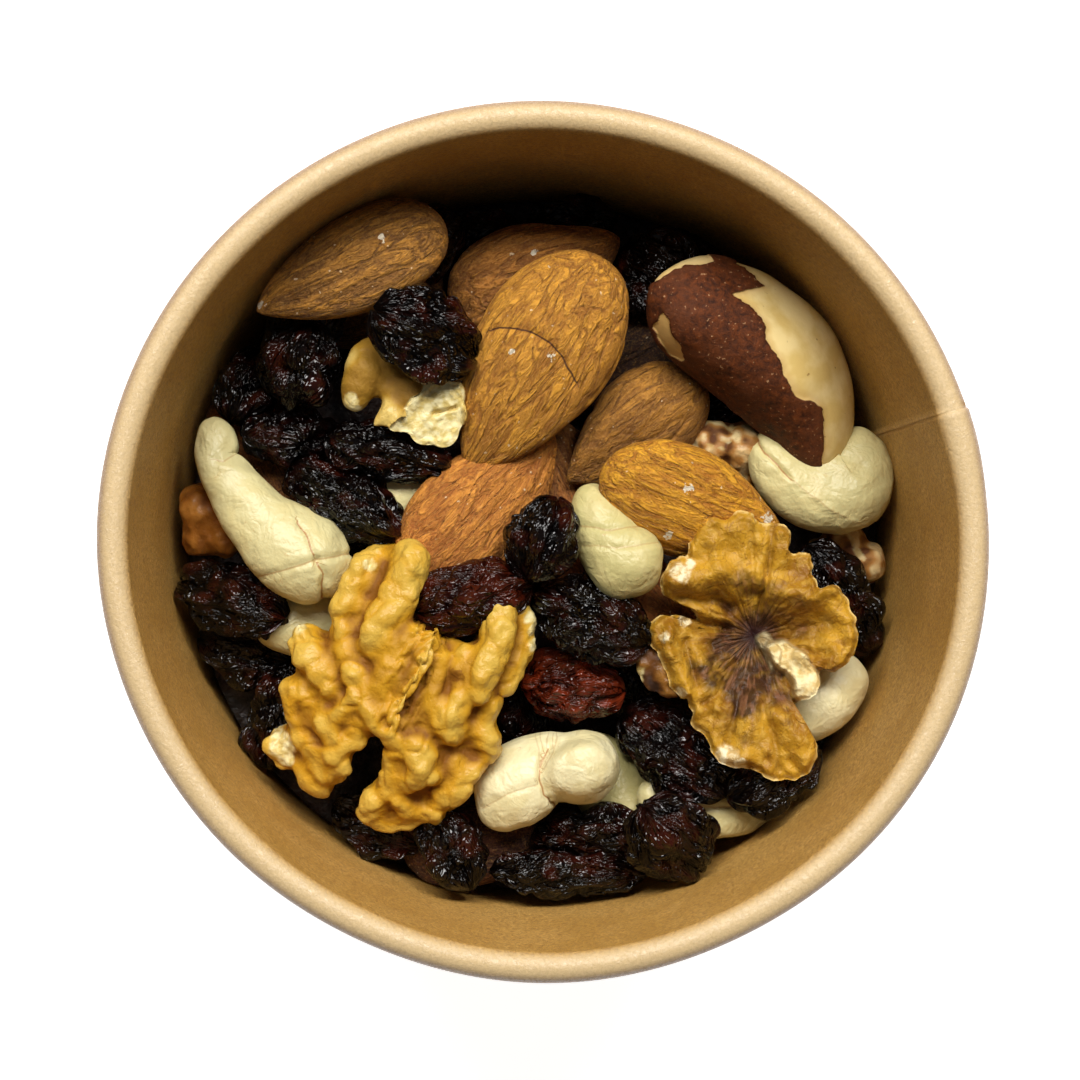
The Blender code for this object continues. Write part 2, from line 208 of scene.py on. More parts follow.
def made_piece(name, points, quads, triangles, marks, material, slot, node):
    """A smooth object from points in millimetres and their faces, with named values on its points. It
    rides on the one body, takes the material given as its finish, and stands for the CAD node. The slot is
    not used."""
    quads, triangles = np.reshape(quads, (-1, 4)), np.reshape(triangles, (-1, 3))
    corners = np.concatenate([quads.ravel(), triangles.ravel()])
    starts = np.concatenate([4 * np.arange(len(quads)), quads.size + 3 * np.arange(len(triangles))])
    mesh = bpy.data.meshes.new(name)
    mesh.vertices.add(len(points))
    mesh.vertices.foreach_set("co", (np.asarray(points) * MM).ravel())
    mesh.loops.add(len(corners))
    mesh.loops.foreach_set("vertex_index", corners.astype(np.int32))
    mesh.polygons.add(len(starts))
    mesh.polygons.foreach_set("loop_start", starts.astype(np.int32))
    mesh.update(calc_edges=True)
    mesh.polygons.foreach_set("use_smooth", np.ones(len(starts), dtype=bool))
    for mark, values in marks.items():
        kind, field = ("FLOAT", "value") if np.ndim(values) == 1 else ("FLOAT_VECTOR", "vector")
        held = mesh.attributes.new(mark, kind, "POINT")
        held.data.foreach_set(field, np.asarray(values, dtype=np.float32).ravel())
    mesh.materials.append(material)
    made = stand(name, mesh, np.eye(4))
    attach(made, "root")
    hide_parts(node)
    return made


def arc(middle, radius, start, end, count):
    """Points on an arc from start to end degrees, in the (radius, height) plane."""
    angles = np.radians(np.linspace(start, end, count))
    return [(middle[0] + radius * math.cos(a), middle[1] + radius * math.sin(a)) for a in angles]


def along(points, count):
    """A line of points filled in evenly to count points, its last one left out."""
    (r0, z0), (r1, z1) = points
    return [(r0 + (r1 - r0) * i / count, z0 + (z1 - z0) * i / count) for i in range(count)]


floor_top = FLOOR_UNDER + PAPER
bead_start = (RIM_RADIUS - 2 * BEAD, BOWL_HEIGHT - BEAD)
inner_profile = along([(0.01, floor_top), (wall_inside(floor_top) - 1.0, floor_top)], FLOOR_ROWS)
inner_profile += along([(wall_inside(floor_top) - 0.2, floor_top + 0.2), bead_start], 30)
bead_profile = arc((RIM_RADIUS - BEAD, BOWL_HEIGHT - BEAD), BEAD, 180, -150, 34)
under_bead = (wall_inside(BOWL_HEIGHT - 1.9 * BEAD) + PAPER, BOWL_HEIGHT - 1.9 * BEAD)
outer_profile = along([under_bead, (FOOT_RADIUS + 0.1, 1.0)], 24)
foot_profile = arc((FOOT_RADIUS - FOOT_FOLD / 2, 0.6), 0.6, 0, -180, FOOT_ROWS)
foot_profile += along([(FOOT_RADIUS - FOOT_FOLD, 1.0), (FOOT_RADIUS - FOOT_FOLD, FLOOR_UNDER - 0.3)], 8)
foot_profile += along([(FOOT_RADIUS - FOOT_FOLD - 0.3, FLOOR_UNDER), (0.01, FLOOR_UNDER)], 10)
bowl_profile = np.array(inner_profile + bead_profile + outer_profile + foot_profile)
inner_count, bead_count = len(inner_profile), len(bead_profile)
outer_count = len(outer_profile)

nicks = np.array([-0.30, -0.16, -0.05, 0.05, 0.16, 0.30])
bowl_turns = np.concatenate([np.linspace(0, 360, 361)[:-1], SEAM + nicks, SEAM - OVERLAP + nicks])
bowl_turns = np.sort(bowl_turns % 360.0)
turns, steps = np.meshgrid(bowl_turns, np.arange(len(bowl_profile)), indexing="ij")
reach, up = bowl_profile[steps].transpose(2, 0, 1)
behind = (SEAM - turns) % 360.0  # degrees back from the bare end
ahead = (turns - SEAM + OVERLAP) % 360.0
inner_step = ease(behind, 0.02, 0.30) * (1.0 - ease(behind, OVERLAP, OVERLAP + 22))
outer_step = ease(ahead, 0.02, 0.30) * (1.0 - ease(ahead, OVERLAP, OVERLAP + 22))
bead_end = inner_count + bead_count
outer_end = bead_end + outer_count
on_inner = (steps >= FLOOR_ROWS) & (steps < inner_count)
on_bead = (steps >= inner_count) & (steps < bead_end)
on_outer = (steps >= bead_end) & (steps < outer_end)
swell = 0.18 * ease(behind, 0.02, 0.30) * (1.0 - ease(behind, 3.0, OVERLAP)) * on_bead
reach = reach - PLY * inner_step * on_inner + PLY * outer_step * on_outer
bead_middle = (RIM_RADIUS - BEAD, BOWL_HEIGHT - BEAD)
reach = np.where(on_bead, bead_middle[0] + (reach - bead_middle[0]) * (1 + swell / BEAD), reach)
up = np.where(on_bead, bead_middle[1] + (up - bead_middle[1]) * (1 + swell / BEAD), up)
crimp = (steps >= outer_end + FOOT_ROWS) & (reach > FOOT_RADIUS - FOOT_FOLD - 0.2)
reach = reach - 0.10 * np.cos(np.radians(turns * 110)) * crimp * (up > 1.5) * (up < 5.0)
angle = np.radians(turns)
wave_place = np.stack([2.2 * np.cos(angle), 2.2 * np.sin(angle), up / 26.0], axis=-1).reshape(-1, 3)
wave = noise(wave_place, 3).reshape(reach.shape) * 0.16 * ease(up, 4.0, 30.0)
reach = reach * (1 + OUT_OF_ROUND * ease(up, 0, 50) * np.cos(2 * (angle - math.radians(LONG_WAY))))
reach = reach + wave * ease(reach, 20.0, 36.0)
bowl_points = np.stack([reach * np.cos(angle), reach * np.sin(angle), up], axis=-1).reshape(-1, 3)


def wrapped_quads(columns, rows):
    """The faces of a grid whose columns close into a ring, in the order column by column."""
    column, row = np.meshgrid(np.arange(columns), np.arange(rows - 1), indexing="ij")
    here, beside = column * rows + row, (column + 1) % columns * rows + row
    return np.stack([here, beside, beside + 1, here + 1], axis=-1).reshape(-1, 4)


bowl_rows = len(bowl_profile)
bowl_quads = wrapped_quads(len(bowl_turns), bowl_rows)[:, ::-1]
bowl_firsts = np.arange(len(bowl_turns)) * bowl_rows
bowl_lasts = bowl_firsts + bowl_rows - 1
bowl_points = np.concatenate([bowl_points, [[0, 0, floor_top], [0, 0, FLOOR_UNDER]]])
top_pole, low_pole = len(bowl_points) - 2, len(bowl_points) - 1
bowl_caps = np.concatenate([
    np.stack([bowl_firsts, np.roll(bowl_firsts, -1), np.full(len(bowl_turns), top_pole)], axis=1),
    np.stack([np.roll(bowl_lasts, -1), bowl_lasts, np.full(len(bowl_turns), low_pole)], axis=1),
])
bead_angle = np.interp(steps, (inner_count, bead_end - 1), (180.0, -150.0))
# The rim mark: the rolled bead, fading in from the wall. It makes the bead glossier and smoother, and paints
# it paler as painted sheen.
on_rim = np.concatenate([(ease(180.0 - bead_angle, 0.0, 62.0) * on_bead).reshape(-1), [0.0, 0.0]])
# The under mark: the bead's outer, lower side, painted darker as painted shade where it turns down, away from
# the light.
painted_shade_under_bead = np.concatenate([(ease(72.0 - bead_angle, 0.0, 44.0) * on_bead).reshape(-1), [0.0, 0.0]])
seam_off = np.where(on_outer, ahead, behind)  # the wall's other end lies bare on its outer face
seam_off = np.minimum(seam_off, 360 - seam_off)
seam_line = 0.6 * np.exp(-((seam_off - 0.1) / 0.25) ** 2) * (on_inner | on_outer)
seam_line = np.concatenate([seam_line.reshape(-1), [0.0, 0.0]])


def new_group(name, inputs, outputs):
    """A shader node group with named inputs and outputs, and its two end nodes."""
    group = bpy.data.node_groups.new(name, "ShaderNodeTree")
    for label, kind, value in inputs:
        socket = group.interface.new_socket(name=label, in_out="INPUT", socket_type=kind)
        if value is not None:
            socket.default_value = value
    for label, kind in outputs:
        group.interface.new_socket(name=label, in_out="OUTPUT", socket_type=kind)
    return group, group.nodes.new("NodeGroupInput"), group.nodes.new("NodeGroupOutput")


def maths(tree, operation, first, second=0.0):
    """The output of a Math node on two values."""
    made = tree.nodes.new("ShaderNodeMath")
    made.operation = operation
    for socket, value in zip(made.inputs, (first, second)):
        if isinstance(value, bpy.types.NodeSocket):
            tree.links.new(value, socket)
        else:
            socket.default_value = value
    return made.outputs[0]


def between(tree, value, low, high, start=0.0, end=1.0):
    """The output of a Map Range node: value from low to high, brought to start to end."""
    links = {"Value": value, "From Min": low, "From Max": high, "To Min": start, "To Max": end}
    return shader_node(tree, "ShaderNodeMapRange", links).outputs["Result"]


def mixed(tree, share, first, second, blend="MIX"):
    """The colour of a Mix node."""
    made = tree.nodes.new("ShaderNodeMix")
    made.data_type = "RGBA"
    made.blend_type = blend
    for index, value in ((0, share), (6, first), (7, second)):
        if isinstance(value, bpy.types.NodeSocket):
            tree.links.new(value, made.inputs[index])
        else:
            made.inputs[index].default_value = value
    return made.outputs[2]


def shader_noise(tree, place, scale, detail=2.0, distortion=0.0, roughness=0.5):
    """The value of a Noise Texture at a place."""
    links = {"Vector": place, "Scale": scale, "Detail": detail, "Roughness": roughness}
    links["Distortion"] = distortion
    return shader_node(tree, "ShaderNodeTexNoise", links).outputs["Fac"]


# Hairlines: the thin curved lines where a distorted noise crosses its middle, in broken lengths.
hairlines, given, result = new_group(
    "hairlines",
    [("Place", "NodeSocketVector", None), ("Scale", "NodeSocketFloat", 1.0),
     ("Width", "NodeSocketFloat", 0.02), ("Share", "NodeSocketFloat", 0.5)],
    [("Line", "NodeSocketFloat")],
)
line_noise = shader_noise(hairlines, given.outputs["Place"], given.outputs["Scale"], 2.0, 1.5)
line_off = maths(hairlines, "ABSOLUTE", maths(hairlines, "SUBTRACT", line_noise, 0.5))
line_near = between(hairlines, line_off, 0.0, given.outputs["Width"], 1.0, 0.0)
part_scale = maths(hairlines, "MULTIPLY", given.outputs["Scale"], 1.7)
line_part = shader_noise(hairlines, given.outputs["Place"], part_scale)
full_share = maths(hairlines, "ADD", given.outputs["Share"], 0.06)
line_kept = between(hairlines, line_part, given.outputs["Share"], full_share)
hairlines.links.new(maths(hairlines, "MULTIPLY", line_near, line_kept), result.inputs["Line"])


def lines_of(tree, place, scale, width, share):
    """The mask of one placing of the hairlines group."""
    made = shader_node(tree, "ShaderNodeGroup", node_tree=hairlines)
    tree.links.new(place, made.inputs["Place"])
    for label, value in (("Scale", scale), ("Width", width), ("Share", share)):
        made.inputs[label].default_value = value
    return made.outputs["Line"]


def place_in_mm(tree):
    """Object coordinates in millimetres."""
    place = shader_node(tree, "ShaderNodeTexCoord").outputs["Object"]
    scaled = shader_node(tree, "ShaderNodeVectorMath", {0: place}, operation="SCALE")
    scaled.inputs["Scale"].default_value = 1000.0
    return scaled.outputs[0]


def mark(tree, name, output="Fac"):
    """A named value on the mesh's points, as a number, or as a Vector."""
    return shader_node(tree, "ShaderNodeAttribute", attribute_name=name).outputs[output]


def bumped(tree, shader, height, distance, under=None):
    """Puts a height in metres times distance into the shader's Normal, over another bump if given."""
    links = {"Height": height, "Distance": distance, "Strength": 1.0}
    if under is not None:
        links["Normal"] = under
    made = shader_node(tree, "ShaderNodeBump", links).outputs["Normal"]
    tree.links.new(made, shader.inputs["Normal"])
    return made


kraft, tree, shader = new_material("kraft paper")
where = place_in_mm(tree)
cloud = shader_noise(tree, where, 0.16, 4.0)
grit = shader_noise(tree, where, 2.6, 5.0, 0.5, 0.75)
sheet = mixed(tree, between(tree, cloud, 0.35, 0.65), paint(202, 156, 76), paint(219, 174, 96))
sheet = mixed(tree, between(tree, grit, 0.38, 0.60), paint(166, 120, 54), sheet)
dark_hairs = lines_of(tree, where, 0.55, 0.018, 0.50)
pale_hairs = lines_of(tree, where, 0.80, 0.016, 0.52)
sheet = mixed(tree, maths(tree, "MULTIPLY", dark_hairs, 0.42), sheet, paint(120, 80, 34))
sheet = mixed(tree, maths(tree, "MULTIPLY", pale_hairs, 0.40), sheet, paint(226, 194, 128))
# The rolled bead is painted paler and less orange than the wall: painted sheen.
sheet = mixed(tree, maths(tree, "MULTIPLY", mark(tree, "rim"), 0.80), sheet, paint(208, 184, 142))
# The bead's outer, lower side is painted dark brown: painted shade.
sheet = mixed(tree, maths(tree, "MULTIPLY", mark(tree, "under"), 0.85), sheet, paint(132, 94, 56))
sheet = mixed(tree, maths(tree, "MULTIPLY", mark(tree, "seam"), 0.75), sheet, paint(108, 70, 38))
tree.links.new(sheet, shader.inputs["Base Color"])
dull = between(tree, grit, 0.3, 0.7, 0.40, 0.56)
tree.links.new(maths(tree, "SUBTRACT", dull, maths(tree, "MULTIPLY", mark(tree, "rim"), 0.20)),
               shader.inputs["Roughness"])
nap = shader_noise(tree, where, 1.8, 5.0, 0.8, 0.75)
nap = maths(tree, "MULTIPLY", nap, between(tree, mark(tree, "rim"), 0, 1, 1.0, 0.4))
bumped(tree, shader, nap, 0.00026)

bowl_marks = {"rim": on_rim, "under": painted_shade_under_bead, "seam": seam_line}
made_piece("paper_bowl_shell", bowl_points, bowl_quads, bowl_caps, bowl_marks,
           kraft, "kraft_paper", "paper_bowl")


# The mix is poured in: each nut and raisin lies on those below it. These are the same pieces, in the
# same order and at the same sizes as in the CAD heap, and they come to rest by the same rule. Each row
# is a kind, then in millimetres and degrees where it lies, its turn, length, width and height.
CLEARANCE = 0.4  # between the mix and the paper
CORE_EDGE = 28.0
CORE_MIDDLE = 28.5
CELL = 0.6
LEAN = 0.8  # the share of the slope below that a piece takes
STEEPEST = math.tan(math.radians(24))
CLEAR = 0.90  # the share of a piece's underside that lies clear of what is below it
GIVING = {"raisin": 0.72, "walnut": 0.75, "petals": 0.80}  # and of those that give, or are hollow
LAYOUT = (
    ("raisin", -31.5, -11.5, -15, 11.0, 7.0, 6.0),
    ("raisin", -16.0, 0.5, -10, 11.0, 7.0, 6.0),
    ("raisin", -1.5, -19.0, 70, 11.0, 7.5, 6.0),
    ("raisin", 22.0, 15.0, 10, 10.0, 7.0, 6.0),
    ("raisin", -6.0, 33.0, 30, 9.5, 7.5, 6.0),
    ("raisin", 4.0, 35.5, 0, 9.5, 6.5, 6.0),
    ("raisin", 17.0, 32.5, -25, 10.0, 7.0, 6.0),
    ("raisin", 26.5, 26.0, -45, 10.0, 7.0, 6.0),
    ("almond", -29.5, 8.0, -60, 21.0, 11.5, 7.5),
    ("almond", 13.5, 21.5, 30, 21.0, 11.0, 7.5),
    ("almond", 3.0, 4.0, -70, 20.5, 11.0, 7.5),
    ("almond", 11.0, -7.0, -40, 22.0, 11.0, 7.0),
    ("cashew", -23.0, -7.5, 20, 16.5, 9.5, 7.5),
    ("cashew", -14.0, 5.0, 140, 14.0, 9.5, 7.5),
    ("raisin", 10.0, -15.5, -60, 10.0, 7.0, 6.0),
    ("raisin", 29.0, -22.0, 50, 10.0, 7.0, 6.0),
    ("almond", -5.5, -33.0, 10, 19.0, 10.5, 7.0),
    ("cashew", 9.0, -27.5, -60, 16.5, 10.0, 7.5),
    ("cashew", 20.0, -29.0, 17, 19.0, 8.0, 5.5),
    ("raisin", 13.0, 29.0, -30, 10.5, 9.0, 7.0),
    ("crumb", 20.5, 9.5, -20, 9.5, 7.5, 7.0),
    ("crumb", 35.5, -2.0, -60, 8.5, 8.0, 7.0),
    ("crumb", -35.5, 2.5, 70, 9.0, 8.5, 6.5),
    ("raisin", -31.5, 17.0, 70, 9.0, 7.0, 6.0),
    ("almond", -20.5, 27.5, 195, 20.0, 11.0, 8.0),
    ("raisin", -25.5, 26.5, 50, 12.0, 8.0, 7.0),
    ("raisin", -14.0, 33.5, 30, 12.0, 8.0, 7.0),
    ("almond", -20.5, 31.5, 207, 22.5, 11.0, 7.5),
    ("raisin", -25.5, 19.0, 80, 9.5, 9.0, 7.5),
    ("raisin", -26.5, 11.5, 0, 11.0, 6.0, 6.0),
    ("raisin", -20.5, 4.5, -27, 14.5, 6.5, 6.5),
    ("almond", 0.5, 29.0, 25, 21.5, 12.0, 8.5),
    ("almond", -6.0, 3.5, 45, 22.5, 13.5, 8.0),
    ("raisin", -16.0, 9.5, -14, 13.5, 6.0, 6.0),
    ("almond", 11.0, 13.0, 37, 19.5, 11.0, 7.5),
    ("cashew", 31.5, 7.0, 160, 16.5, 12.0, 8.5),
    ("cashew", 8.5, 0.5, 115, 16.0, 11.0, 8.5),
    ("raisin", 35.0, -6.5, -62, 14.0, 7.5, 6.5),
    ("cashew", 32.0, -17.0, 230, 16.0, 10.5, 8.0),
    ("raisin", 15.0, -22.5, -42, 14.5, 9.5, 7.0),
    ("raisin", 27.0, -26.5, 25, 11.5, 7.0, 6.5),
    ("raisin", 16.0, -32.0, -52, 10.5, 9.0, 7.0),
    ("raisin", 6.0, -31.5, 5, 13.0, 5.5, 6.0),
    ("raisin", 3.5, -36.5, 0, 17.0, 5.5, 6.0),
    ("raisin", -17.5, -31.0, -22, 11.5, 6.5, 6.5),
    ("raisin", -9.5, -33.0, -65, 9.5, 6.0, 6.5),
    ("raisin", -28.0, -18.5, 80, 12.5, 6.5, 6.5),
    ("raisin", -33.0, -6.0, -22, 13.0, 8.0, 7.0),
    ("raisin", -7.0, -6.0, 10, 12.5, 8.0, 7.0),
    ("raisin", 5.5, -8.0, -22, 13.5, 8.5, 7.0),
    ("elbow", -14.5, 15.5, 35, 14.0, 11.0, 7.5),
    ("raisin", -12.0, 23.0, -27, 12.5, 9.0, 7.0),
    ("raisin", 0.0, 0.5, 70, 9.0, 7.0, 6.5),
    ("raisin", 3.5, -15.5, 0, 11.0, 7.5, 7.0),
    ("almond", 16.5, 5.5, -27, 22.5, 11.5, 7.5),
    ("almond", 1.5, 20.5, 237, 25.0, 14.5, 8.5),
    ("brazil", 23.5, 19.5, -45, 27.5, 13.5, 11.5),
    ("cashew", -28.5, 2.5, 132, 25.5, 11.5, 9.0),
    ("cashew", 0.5, -25.5, 25, 19.5, 12.0, 9.0),
    ("walnut", -15.0, -15.5, 0, 29.0, 29.0, 12.5),
    ("petals", 23.0, -11.0, 0, 25.0, 28.0, 8.0),
)
# The lobes of the pieces that are not one round form: where each lies from the piece's middle, its
# turn, length and width, and how high it stands.
LOBES = {
    "walnut": (
        (0.0, 0.0, 0, 22.0, 20.0, 2.0), (0.0, 9.5, 68, 11.5, 6.5, 5.0),
        (-5.0, 9.5, 62, 10.5, 6.0, 3.5), (-9.5, 4.5, 110, 10.0, 7.0, 2.5),
        (-11.5, -6.0, 80, 6.5, 5.0, 1.0), (-7.5, -8.0, 60, 12.0, 10.0, 2.5),
        (-4.5, 3.0, 50, 10.0, 8.0, 5.0), (-3.5, -2.5, 20, 10.0, 8.0, 4.0),
        (2.0, 1.5, 65, 14.0, 7.0, 6.0), (6.0, -3.5, 80, 11.0, 8.0, 4.0),
        (10.0, 5.0, 75, 11.0, 6.5, 4.5), (12.0, 3.5, 78, 9.0, 4.0, 1.5),
        (4.5, -8.0, 75, 10.0, 7.0, 4.0), (8.5, -7.5, 60, 10.0, 7.0, 2.5),
        (-1.5, -12.0, 15, 9.0, 6.0, 2.5), (4.0, -12.0, -20, 9.0, 6.5, 2.5),
    ),
    "petals": (
        (0.0, 0.0, 0, 17.0, 17.0, 1.5), (-1.5, 8.0, 100, 14.0, 14.0, 3.0),
        (4.5, 7.0, 60, 14.0, 11.0, 2.5), (7.0, 2.5, 15, 13.0, 11.0, 2.0),
        (-6.0, 6.0, 140, 11.0, 7.0, 3.0), (-7.5, -0.5, 175, 11.0, 8.0, 3.0),
        (-1.5, -7.0, 70, 13.0, 11.0, 2.5), (3.5, -9.5, -50, 12.5, 9.0, 2.5),
        (5.5, -2.5, -50, 6.5, 4.5, 4.0),
    ),
    "crumb": (
        (-1.8, 1.0, 20, 5.5, 5.0, 2.5), (1.2, 1.7, 75, 5.5, 4.5, 3.0),
        (1.8, -1.2, 100, 6.0, 4.5, 2.0), (-1.0, -1.7, 10, 5.5, 4.5, 2.5),
    ),
    "elbow": (
        (-4.0, 0.5, 60, 9.5, 5.5, 3.5), (0.0, 1.5, -5, 9.0, 4.5, 3.0),
        (4.0, -1.0, 75, 8.0, 6.5, 4.0),
    ),
}


def ball(segments, rings):
    """Points of a unit ball with its poles on X: the rings from +X to -X, then the two poles."""
    tilt, about = np.meshgrid(
        math.pi * np.arange(1, rings) / rings,
        2 * math.pi * np.arange(segments) / segments,
        indexing="ij",
    )
    ring = np.sin(tilt)
    points = np.stack([np.cos(tilt), ring * np.cos(about), ring * np.sin(about)], axis=-1)
    return np.concatenate([points.reshape(-1, 3), [[1.0, 0.0, 0.0], [-1.0, 0.0, 0.0]]])


def almond_form(p, size, seed):
    """Flat, blunt at -X and drawn to a point at +X: the ball's girth times (1 - 0.2x)(1 - x)^0.16."""
    x, y, z = p.T
    taper = (1.0 - 0.2 * x) * (1.0 - np.clip(x, 0.0, 1.0)) ** 0.16
    return np.stack([x, y * taper, z * taper], axis=1) * size


def raisin_form(p, size, seed):
    """A long ball with lengthwise folds, no two alike: its girth waves three and five times round."""
    x, y, z = p.T
    about = np.arctan2(z, y)
    fold = 1.0 + 0.08 * np.sin(3 * about + seed) + 0.06 * np.sin(5 * about + 4 * x + 2 * seed)
    return np.stack([x, y * fold, z * fold], axis=1) * size


def bent(p, size, girth):
    """A rod bent along an arc, its back towards +Y. The girth is its own share of the whole width."""
    half = girth * size[1]
    sweep = 2 * math.atan(2 * (size[1] - half) / size[0])
    radius = size[0] / math.sin(sweep)
    reach = radius + p[:, 1] * half
    ahead = reach * np.sin(sweep * p[:, 0])
    across = reach * np.cos(sweep * p[:, 0]) - radius * (1 + math.cos(sweep)) / 2
    return np.stack([ahead, across, p[:, 2] * size[2]], axis=1)


def cashew_form(p, size, seed):
    """A kidney, thicker at -X than at +X: a bent rod whose girth falls evenly along it."""
    x, y, z = p.T
    return bent(np.stack([x, y * (1.0 - 0.28 * x), z * (1.0 - 0.2 * x)], axis=1), size, 0.68)


def brazil_form(p, size, seed):
    """A long segment with three blunt edges and blunt ends, its rounded back towards +Y."""
    x, y, z = p.T
    edge = 1.0 + 0.08 * np.cos(3 * (np.arctan2(z, y) + 0.5))
    full = edge * (1.0 - 0.12 * x) * np.clip(1.0 - x**2, 1e-6, 1.0) ** -0.15
    return bent(np.stack([x, y * full, z * full], axis=1), size, 0.86)


FORMS = {"almond": almond_form, "raisin": raisin_form, "cashew": cashew_form, "brazil": brazil_form}


def shells(kind, size, seed, unit):
    """The points of the unit ball pushed into the piece's form, or into each of its lobes."""
    if kind in FORMS:
        return FORMS[kind](unit, size, seed)
    found = []
    for x, y, turn, length, width, top in LOBES[kind]:
        c, s = math.cos(math.radians(turn)), math.sin(math.radians(turn))
        ahead, across = unit[:, 0] * length / 2, unit[:, 1] * width / 2
        above = (top - size[2]) / 2 + unit[:, 2] * (top + size[2]) / 2
        found.append(np.stack([x + ahead * c - across * s, y + ahead * s + across * c, above], axis=1))
    return np.concatenate(found)


def axes_of(turn, slope):
    """The directions of a piece's own X, Y and Z once it is turned and leans on the two slopes."""
    above = np.array([-slope[0], -slope[1], 1.0])
    above /= np.linalg.norm(above)
    heading = np.array([math.cos(math.radians(turn)), math.sin(math.radians(turn)), 0.0])
    side = np.cross(above, heading)
    side /= np.linalg.norm(side)
    return np.stack([np.cross(side, above), side, above])


heap_count = int(2 * RIM_RADIUS / CELL) + 1
heap_middles = (np.arange(heap_count) + 0.5) * CELL - RIM_RADIUS
heap_x, heap_y = (grid.ravel() for grid in np.meshgrid(heap_middles, heap_middles, indexing="ij"))
heap_fall = (CORE_MIDDLE - CORE_EDGE) / wall_inside(CORE_EDGE) ** 2
heap_top = CORE_MIDDLE - heap_fall * (heap_x**2 + heap_y**2)


def under(points):
    """The cells of the heap's height map that the points cover, with the lowest and highest there."""
    i, j = ((points[:, :2] + RIM_RADIUS) / CELL).astype(int).T
    low = np.full(heap_count**2, np.inf)
    high = np.full(heap_count**2, -np.inf)
    np.minimum.at(low, i * heap_count + j, points[:, 2])
    np.maximum.at(high, i * heap_count + j, points[:, 2])
    cells = np.flatnonzero(np.isfinite(low))
    return cells, low[cells], high[cells]


def slope_under(points):
    """Most of the slope of what lies under the points, and no more than the steepest."""
    cells = under(points)[0]
    grid = np.stack([heap_x[cells], heap_y[cells], np.ones(len(cells))], axis=1)
    slope = np.linalg.lstsq(grid, heap_top[cells], rcond=None)[0][:2] * LEAN
    return slope * min(1.0, STEEPEST / max(np.hypot(*slope), 1e-9))


rests = []  # each piece's middle and axes
for seed, (kind, x, y, turn, *sizes) in enumerate(LAYOUT):
    own = shells(kind, np.array(sizes) / 2, seed, ball(96, 72) if kind in FORMS else ball(32, 24))
    middle = np.array([x, y, 0.0])
    for _ in range(8):
        axes = axes_of(turn, slope_under(own @ axes_of(turn, (0.0, 0.0)) + middle))
        middle[2] = 0.0
        cells, low, high = under(own @ axes + middle)
        middle[2] = np.quantile(heap_top[cells] - low, GIVING.get(kind, CLEAR))
        points = own @ axes + middle
        excess = (np.hypot(points[:, 0], points[:, 1]) - wall_inside(points[:, 2]) + CLEARANCE).max()
        if excess <= 0:
            break
        middle[:2] *= 1 - (excess + 0.1) / math.hypot(middle[0], middle[1])
    cells, low, high = under(points)
    heap_top[cells] = np.maximum(heap_top[cells], high)
    rests.append((middle, axes))


# Below what shows, the bowl is full of more raisins and broken nuts, so dark between the pieces that
# they read as one lumpy bed. It is one closed form with the lumps worked in.
BED_TURNS = 180
BED_RINGS = 56
BED_GAP = 0.9  # from the bed's side to the wall
bed_angle = 2 * math.pi * np.arange(BED_TURNS) / BED_TURNS
bed_share = np.linspace(0.02, 1.0, BED_RINGS)
turns, share = np.meshgrid(bed_angle, bed_share, indexing="ij")
bed_edge = wall_inside(CORE_EDGE) - BED_GAP
flat_x, flat_y = bed_edge * share * np.cos(turns), bed_edge * share * np.sin(turns)
bed_place = np.stack([flat_x, flat_y, np.zeros_like(flat_x)], axis=-1).reshape(-1, 3)
lump = np.abs(noise(bed_place / 5.0, 11)) * 2.4 + np.abs(noise(bed_place / 1.6, 12)) * 0.8 - 1.4
lump = lump.reshape(flat_x.shape) * (1 - share**8)
bed_top = np.stack([flat_x, flat_y, CORE_MIDDLE - 0.5 * share**2 - 0.5 + lump], axis=-1)
bed_low = FLOOR_UNDER + PAPER + CLEARANCE
sides = np.linspace(0.0, 1.0, 9)[1:]
side_z = CORE_EDGE - 1.0 + (bed_low - CORE_EDGE + 1.0) * sides
side_r = wall_inside(side_z) - BED_GAP
side_turns = turns[:, :1]
bed_side = np.stack(
    [side_r * np.cos(side_turns), side_r * np.sin(side_turns), side_z + 0 * side_turns], axis=-1)
bed_points = np.concatenate([bed_top, bed_side], axis=1)
bed_rows = bed_points.shape[1]
bed_points = np.concatenate([bed_points.reshape(-1, 3), [[0, 0, CORE_MIDDLE - 0.5], [0, 0, bed_low]]])
bed_firsts = np.arange(BED_TURNS) * bed_rows
bed_lasts = bed_firsts + bed_rows - 1
bed_poles = len(bed_points) - 2
bed_caps = np.concatenate([
    np.stack([bed_firsts, np.roll(bed_firsts, -1), np.full(BED_TURNS, bed_poles)], axis=1),
    np.stack([np.roll(bed_lasts, -1), bed_lasts, np.full(BED_TURNS, bed_poles + 1)], axis=1),
])
bed_finish, tree, shader = new_material("bed of raisins")
where = place_in_mm(tree)
cloud = between(tree, shader_noise(tree, where, 0.35), 0.4, 0.6)
tone = mixed(tree, cloud, paint(14, 8, 7), paint(40, 22, 14))
tree.links.new(tone, shader.inputs["Base Color"])
shader.inputs["Roughness"].default_value = 0.5
bumped(tree, shader, shader_noise(tree, where, 1.6, 4.0, 0.8), 0.0005)
made_piece("mix_bed", bed_points, wrapped_quads(BED_TURNS, bed_rows)[:, ::-1], bed_caps, {},
           bed_finish, "nuts_and_raisins", "trail_mix")


